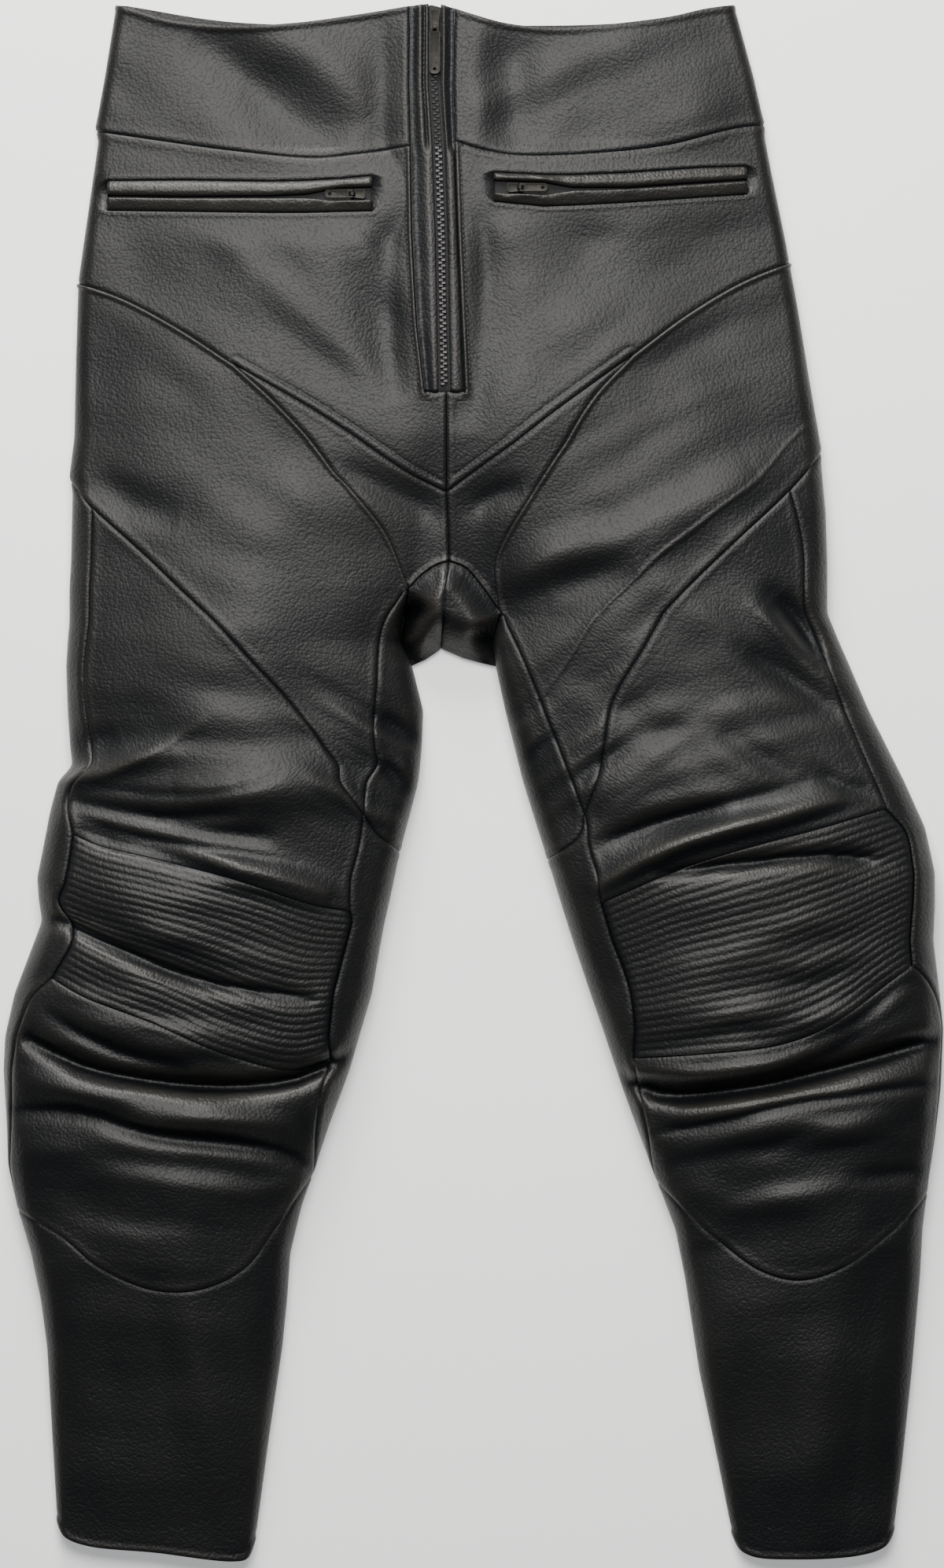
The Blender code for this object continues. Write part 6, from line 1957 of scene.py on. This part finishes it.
@dataclass
class Stitching:
    """Rows of stitches beside the seams, each pulled a little into the leather."""
    thread: Material
    books: dict[str, SeamBook]
    pitch: float = 3.0
    length: float = 2.1
    radius: float = 0.3
    welt_shift: float = 2.4   # a pocket's rows lie this far outside its window
    on_fly: tuple = (         # name, the fly's line, how far beside it, from, to, height
        ("right", "right", 9.2, 5.0, 85.0, -0.5), ("right_low", "right", -3.4, 94.0, 238.0, 0.35),
        ("left", "left", 3.4, 8.0, 238.0, 0.35))

    def _stitch(self) -> Unit:
        """One stitch, its ends drawn down to the leather."""
        half = self.length / 2
        obj = rod((0, 0, 0), self.radius, half - 0.3, sides=6)
        reshape(obj, "FACE", lambda spot: abs(spot.y) > half - 0.4, bpy.ops.mesh.inset,
                thickness=0.6 * self.radius, depth=0.3, use_individual=True)
        points, faces = taken_apart(obj)
        points = points[:, [1, 0, 2]] * (1, -1, 1)
        points[:, 2] -= 0.25 * (points[:, 0] / half) ** 4
        return points, faces

    def _row(self, name: str, form: Form, line: Array, height: float) -> None:
        """Sews one row.

        Args:
            name: Of the piece.
            form: The form that the line lies on.
            line: Where it goes.
            height: Of the stitches' middle over the form.
        """
        stops = evenly(line, int(reached(line)[-1] / self.pitch))
        middles = ((stops[:-1] + stops[1:]) / 2).T
        along = unit(np.diff(to_model(form.point(*stops.T)), axis=0))
        up = outward(form, *middles, True, 0.6)
        up = unit(up - along * np.sum(up * along, axis=1, keepdims=True))
        spots = to_model(form.point(*middles)) + up * height * MM
        dress(scattered(f"thread_{name}", self._stitch(), spots, along, up), self.thread)

    def build(self) -> None:
        """Sews the rows of the V seam, the fly and the pockets."""
        for name, seams in self.books.items():
            side = SIDES[name]
            v_line = side.point(*seams["v"].T)[4:-4, :2]
            self._row(f"v_{name}", side, on_ring(side, moved_up(v_line, ON_V)), -0.15)
            for part, shift in (("top", -self.welt_shift), ("bottom", self.welt_shift)):
                self._row(f"pocket_{part}_{name}", side, on_ring(side, pocket_line(name, part, shift=shift)), 0.3)
        for name, line, shift, low, high, height in self.on_fly:
            downs = np.linspace(low, high, 80)
            self._row(f"fly_{name}", PlanForm(), np.stack([column(FLY, line, downs) + shift, downs], axis=1), height)


def moved_up(line: Array, away: float) -> Array:
    """A line moved up the garment by a distance."""
    slope = np.gradient(line, axis=0)
    normal = unit(np.stack([slope[:, 1], -slope[:, 0]], axis=1))
    return line + normal * -np.sign(normal[:, 1:2] + 1e-9) * away


# ---- studio
class Lamp(NamedTuple):
    """A soft square lamp: where it hangs, the point that it faces, its size and its watts."""
    name: str
    place: tuple
    aim: tuple
    size: float
    power: float


@dataclass
class Studio:
    """A pale floor, soft light from the waist's end and a camera straight above."""
    view_height: float = 0.977        # metres seen from top to bottom
    distance: float = 4.8
    outline_height: float = 0.02      # the garment's outline is this high over the floor
    centre: tuple[float, float] = (-0.000735, -0.00107)
    sensor: float = 36.0
    lamp_colour: tuple = (1.0, 0.98, 0.945)
    lamps: tuple[Lamp, ...] = (Lamp("over", (-0.1, 1.15, 2.3), (0, 0.45, 0), 1.35, 99.0),
                               Lamp("key", (-0.35, 2.0, 0.95), (0, 0.1, 0), 0.8, 77.0))
    surroundings: tuple = (0.62, 0.8, 1.0, 1)
    surroundings_strength: float = 0.07
    floor_level: float = -0.0006

    def camera(self) -> None:
        """Sets the camera over the middle of the garment."""
        data = bpy.data.cameras.new("view")
        data.sensor_fit, data.sensor_height = "VERTICAL", self.sensor
        data.lens = self.sensor * (self.distance - self.outline_height) / self.view_height
        obj = linked("view", data)
        obj.location = (*self.centre, self.distance)
        bpy.context.scene.camera = obj

    def build(self) -> None:
        """Makes the floor, the lamps and the surroundings."""
        deselect()
        bpy.ops.mesh.primitive_plane_add(size=12.0, location=(0, 0, self.floor_level))
        floor = bpy.context.active_object
        floor.name = "floor"
        floor.data.materials.append(PaleFloor().make())
        floor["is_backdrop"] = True
        for lamp in self.lamps:
            data = bpy.data.lights.new(lamp.name, "AREA")
            data.size, data.energy, data.color = lamp.size, lamp.power, self.lamp_colour
            obj = linked(lamp.name, data)
            obj.location = lamp.place
            obj.rotation_euler = (Vector(lamp.aim) - Vector(lamp.place)).to_track_quat("-Z", "Y").to_euler()
        world = bpy.data.worlds.new("studio")
        world.use_nodes = True
        Board(world.node_tree).wire(world.node_tree.nodes["Background"],
                                    {"Color": self.surroundings, "Strength": self.surroundings_strength})
        bpy.context.scene.world = world


def corners() -> list[list[float]]:
    """The whole object's box as plain lists."""
    return [[float(value) for value in corner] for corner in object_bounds()]


def main() -> None:
    """Builds the garment, sub-assembly by sub-assembly."""
    logging.basicConfig(level=logging.INFO, format="%(message)s")
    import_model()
    deselect()
    studio = Studio()
    studio.camera()
    trim, tape = Trim(BlackLeather().make()), Tape(WovenTape().make())
    # The second metal is the zip steel darkened: painted shade for the teeth under the welts.
    steel, steel_painted_shade, gunmetal = (ZipMetal(*values).make() for values in (
        ("zip_steel", (0.10, 0.095, 0.10, 1), (0.016, 0.016, 0.018, 1), 0.38, 0.85),
        ("zip_steel_painted_shade", (0.018, 0.018, 0.019, 1), (0.006, 0.006, 0.006, 1), 0.45, 0.6),
        ("slider_gunmetal", (0.019, 0.0175, 0.015, 1), (0.007, 0.007, 0.007, 1), 0.34, 0.85)))
    books = {name: SeamBook(side) for name, side in SIDES.items()}
    for part in (*(kind(trim, books) for kind in (Waistband, HipFronts, Crotch, Thighs, Knees, LowerLegs, Back)),
                 Pockets(trim, tape), Fly(trim, tape), Teeth(steel_painted_shade, steel),
                 Slider("fly", gunmetal, -90.0, 13.0, 6.6, 29.0, 7.0),
                 Slider("pocket_right", gunmetal, 180.0, 10.0, 6.4, 17.0, 5.0),
                 Slider("pocket_left", gunmetal, 0.0, 10.0, 6.4, 17.0, 5.0), Stitching(Thread().make(), books)):
        part.build()
        LOG.info("%s done", type(part).__name__)
    studio.build()


if __name__ == "__main__":
    main()
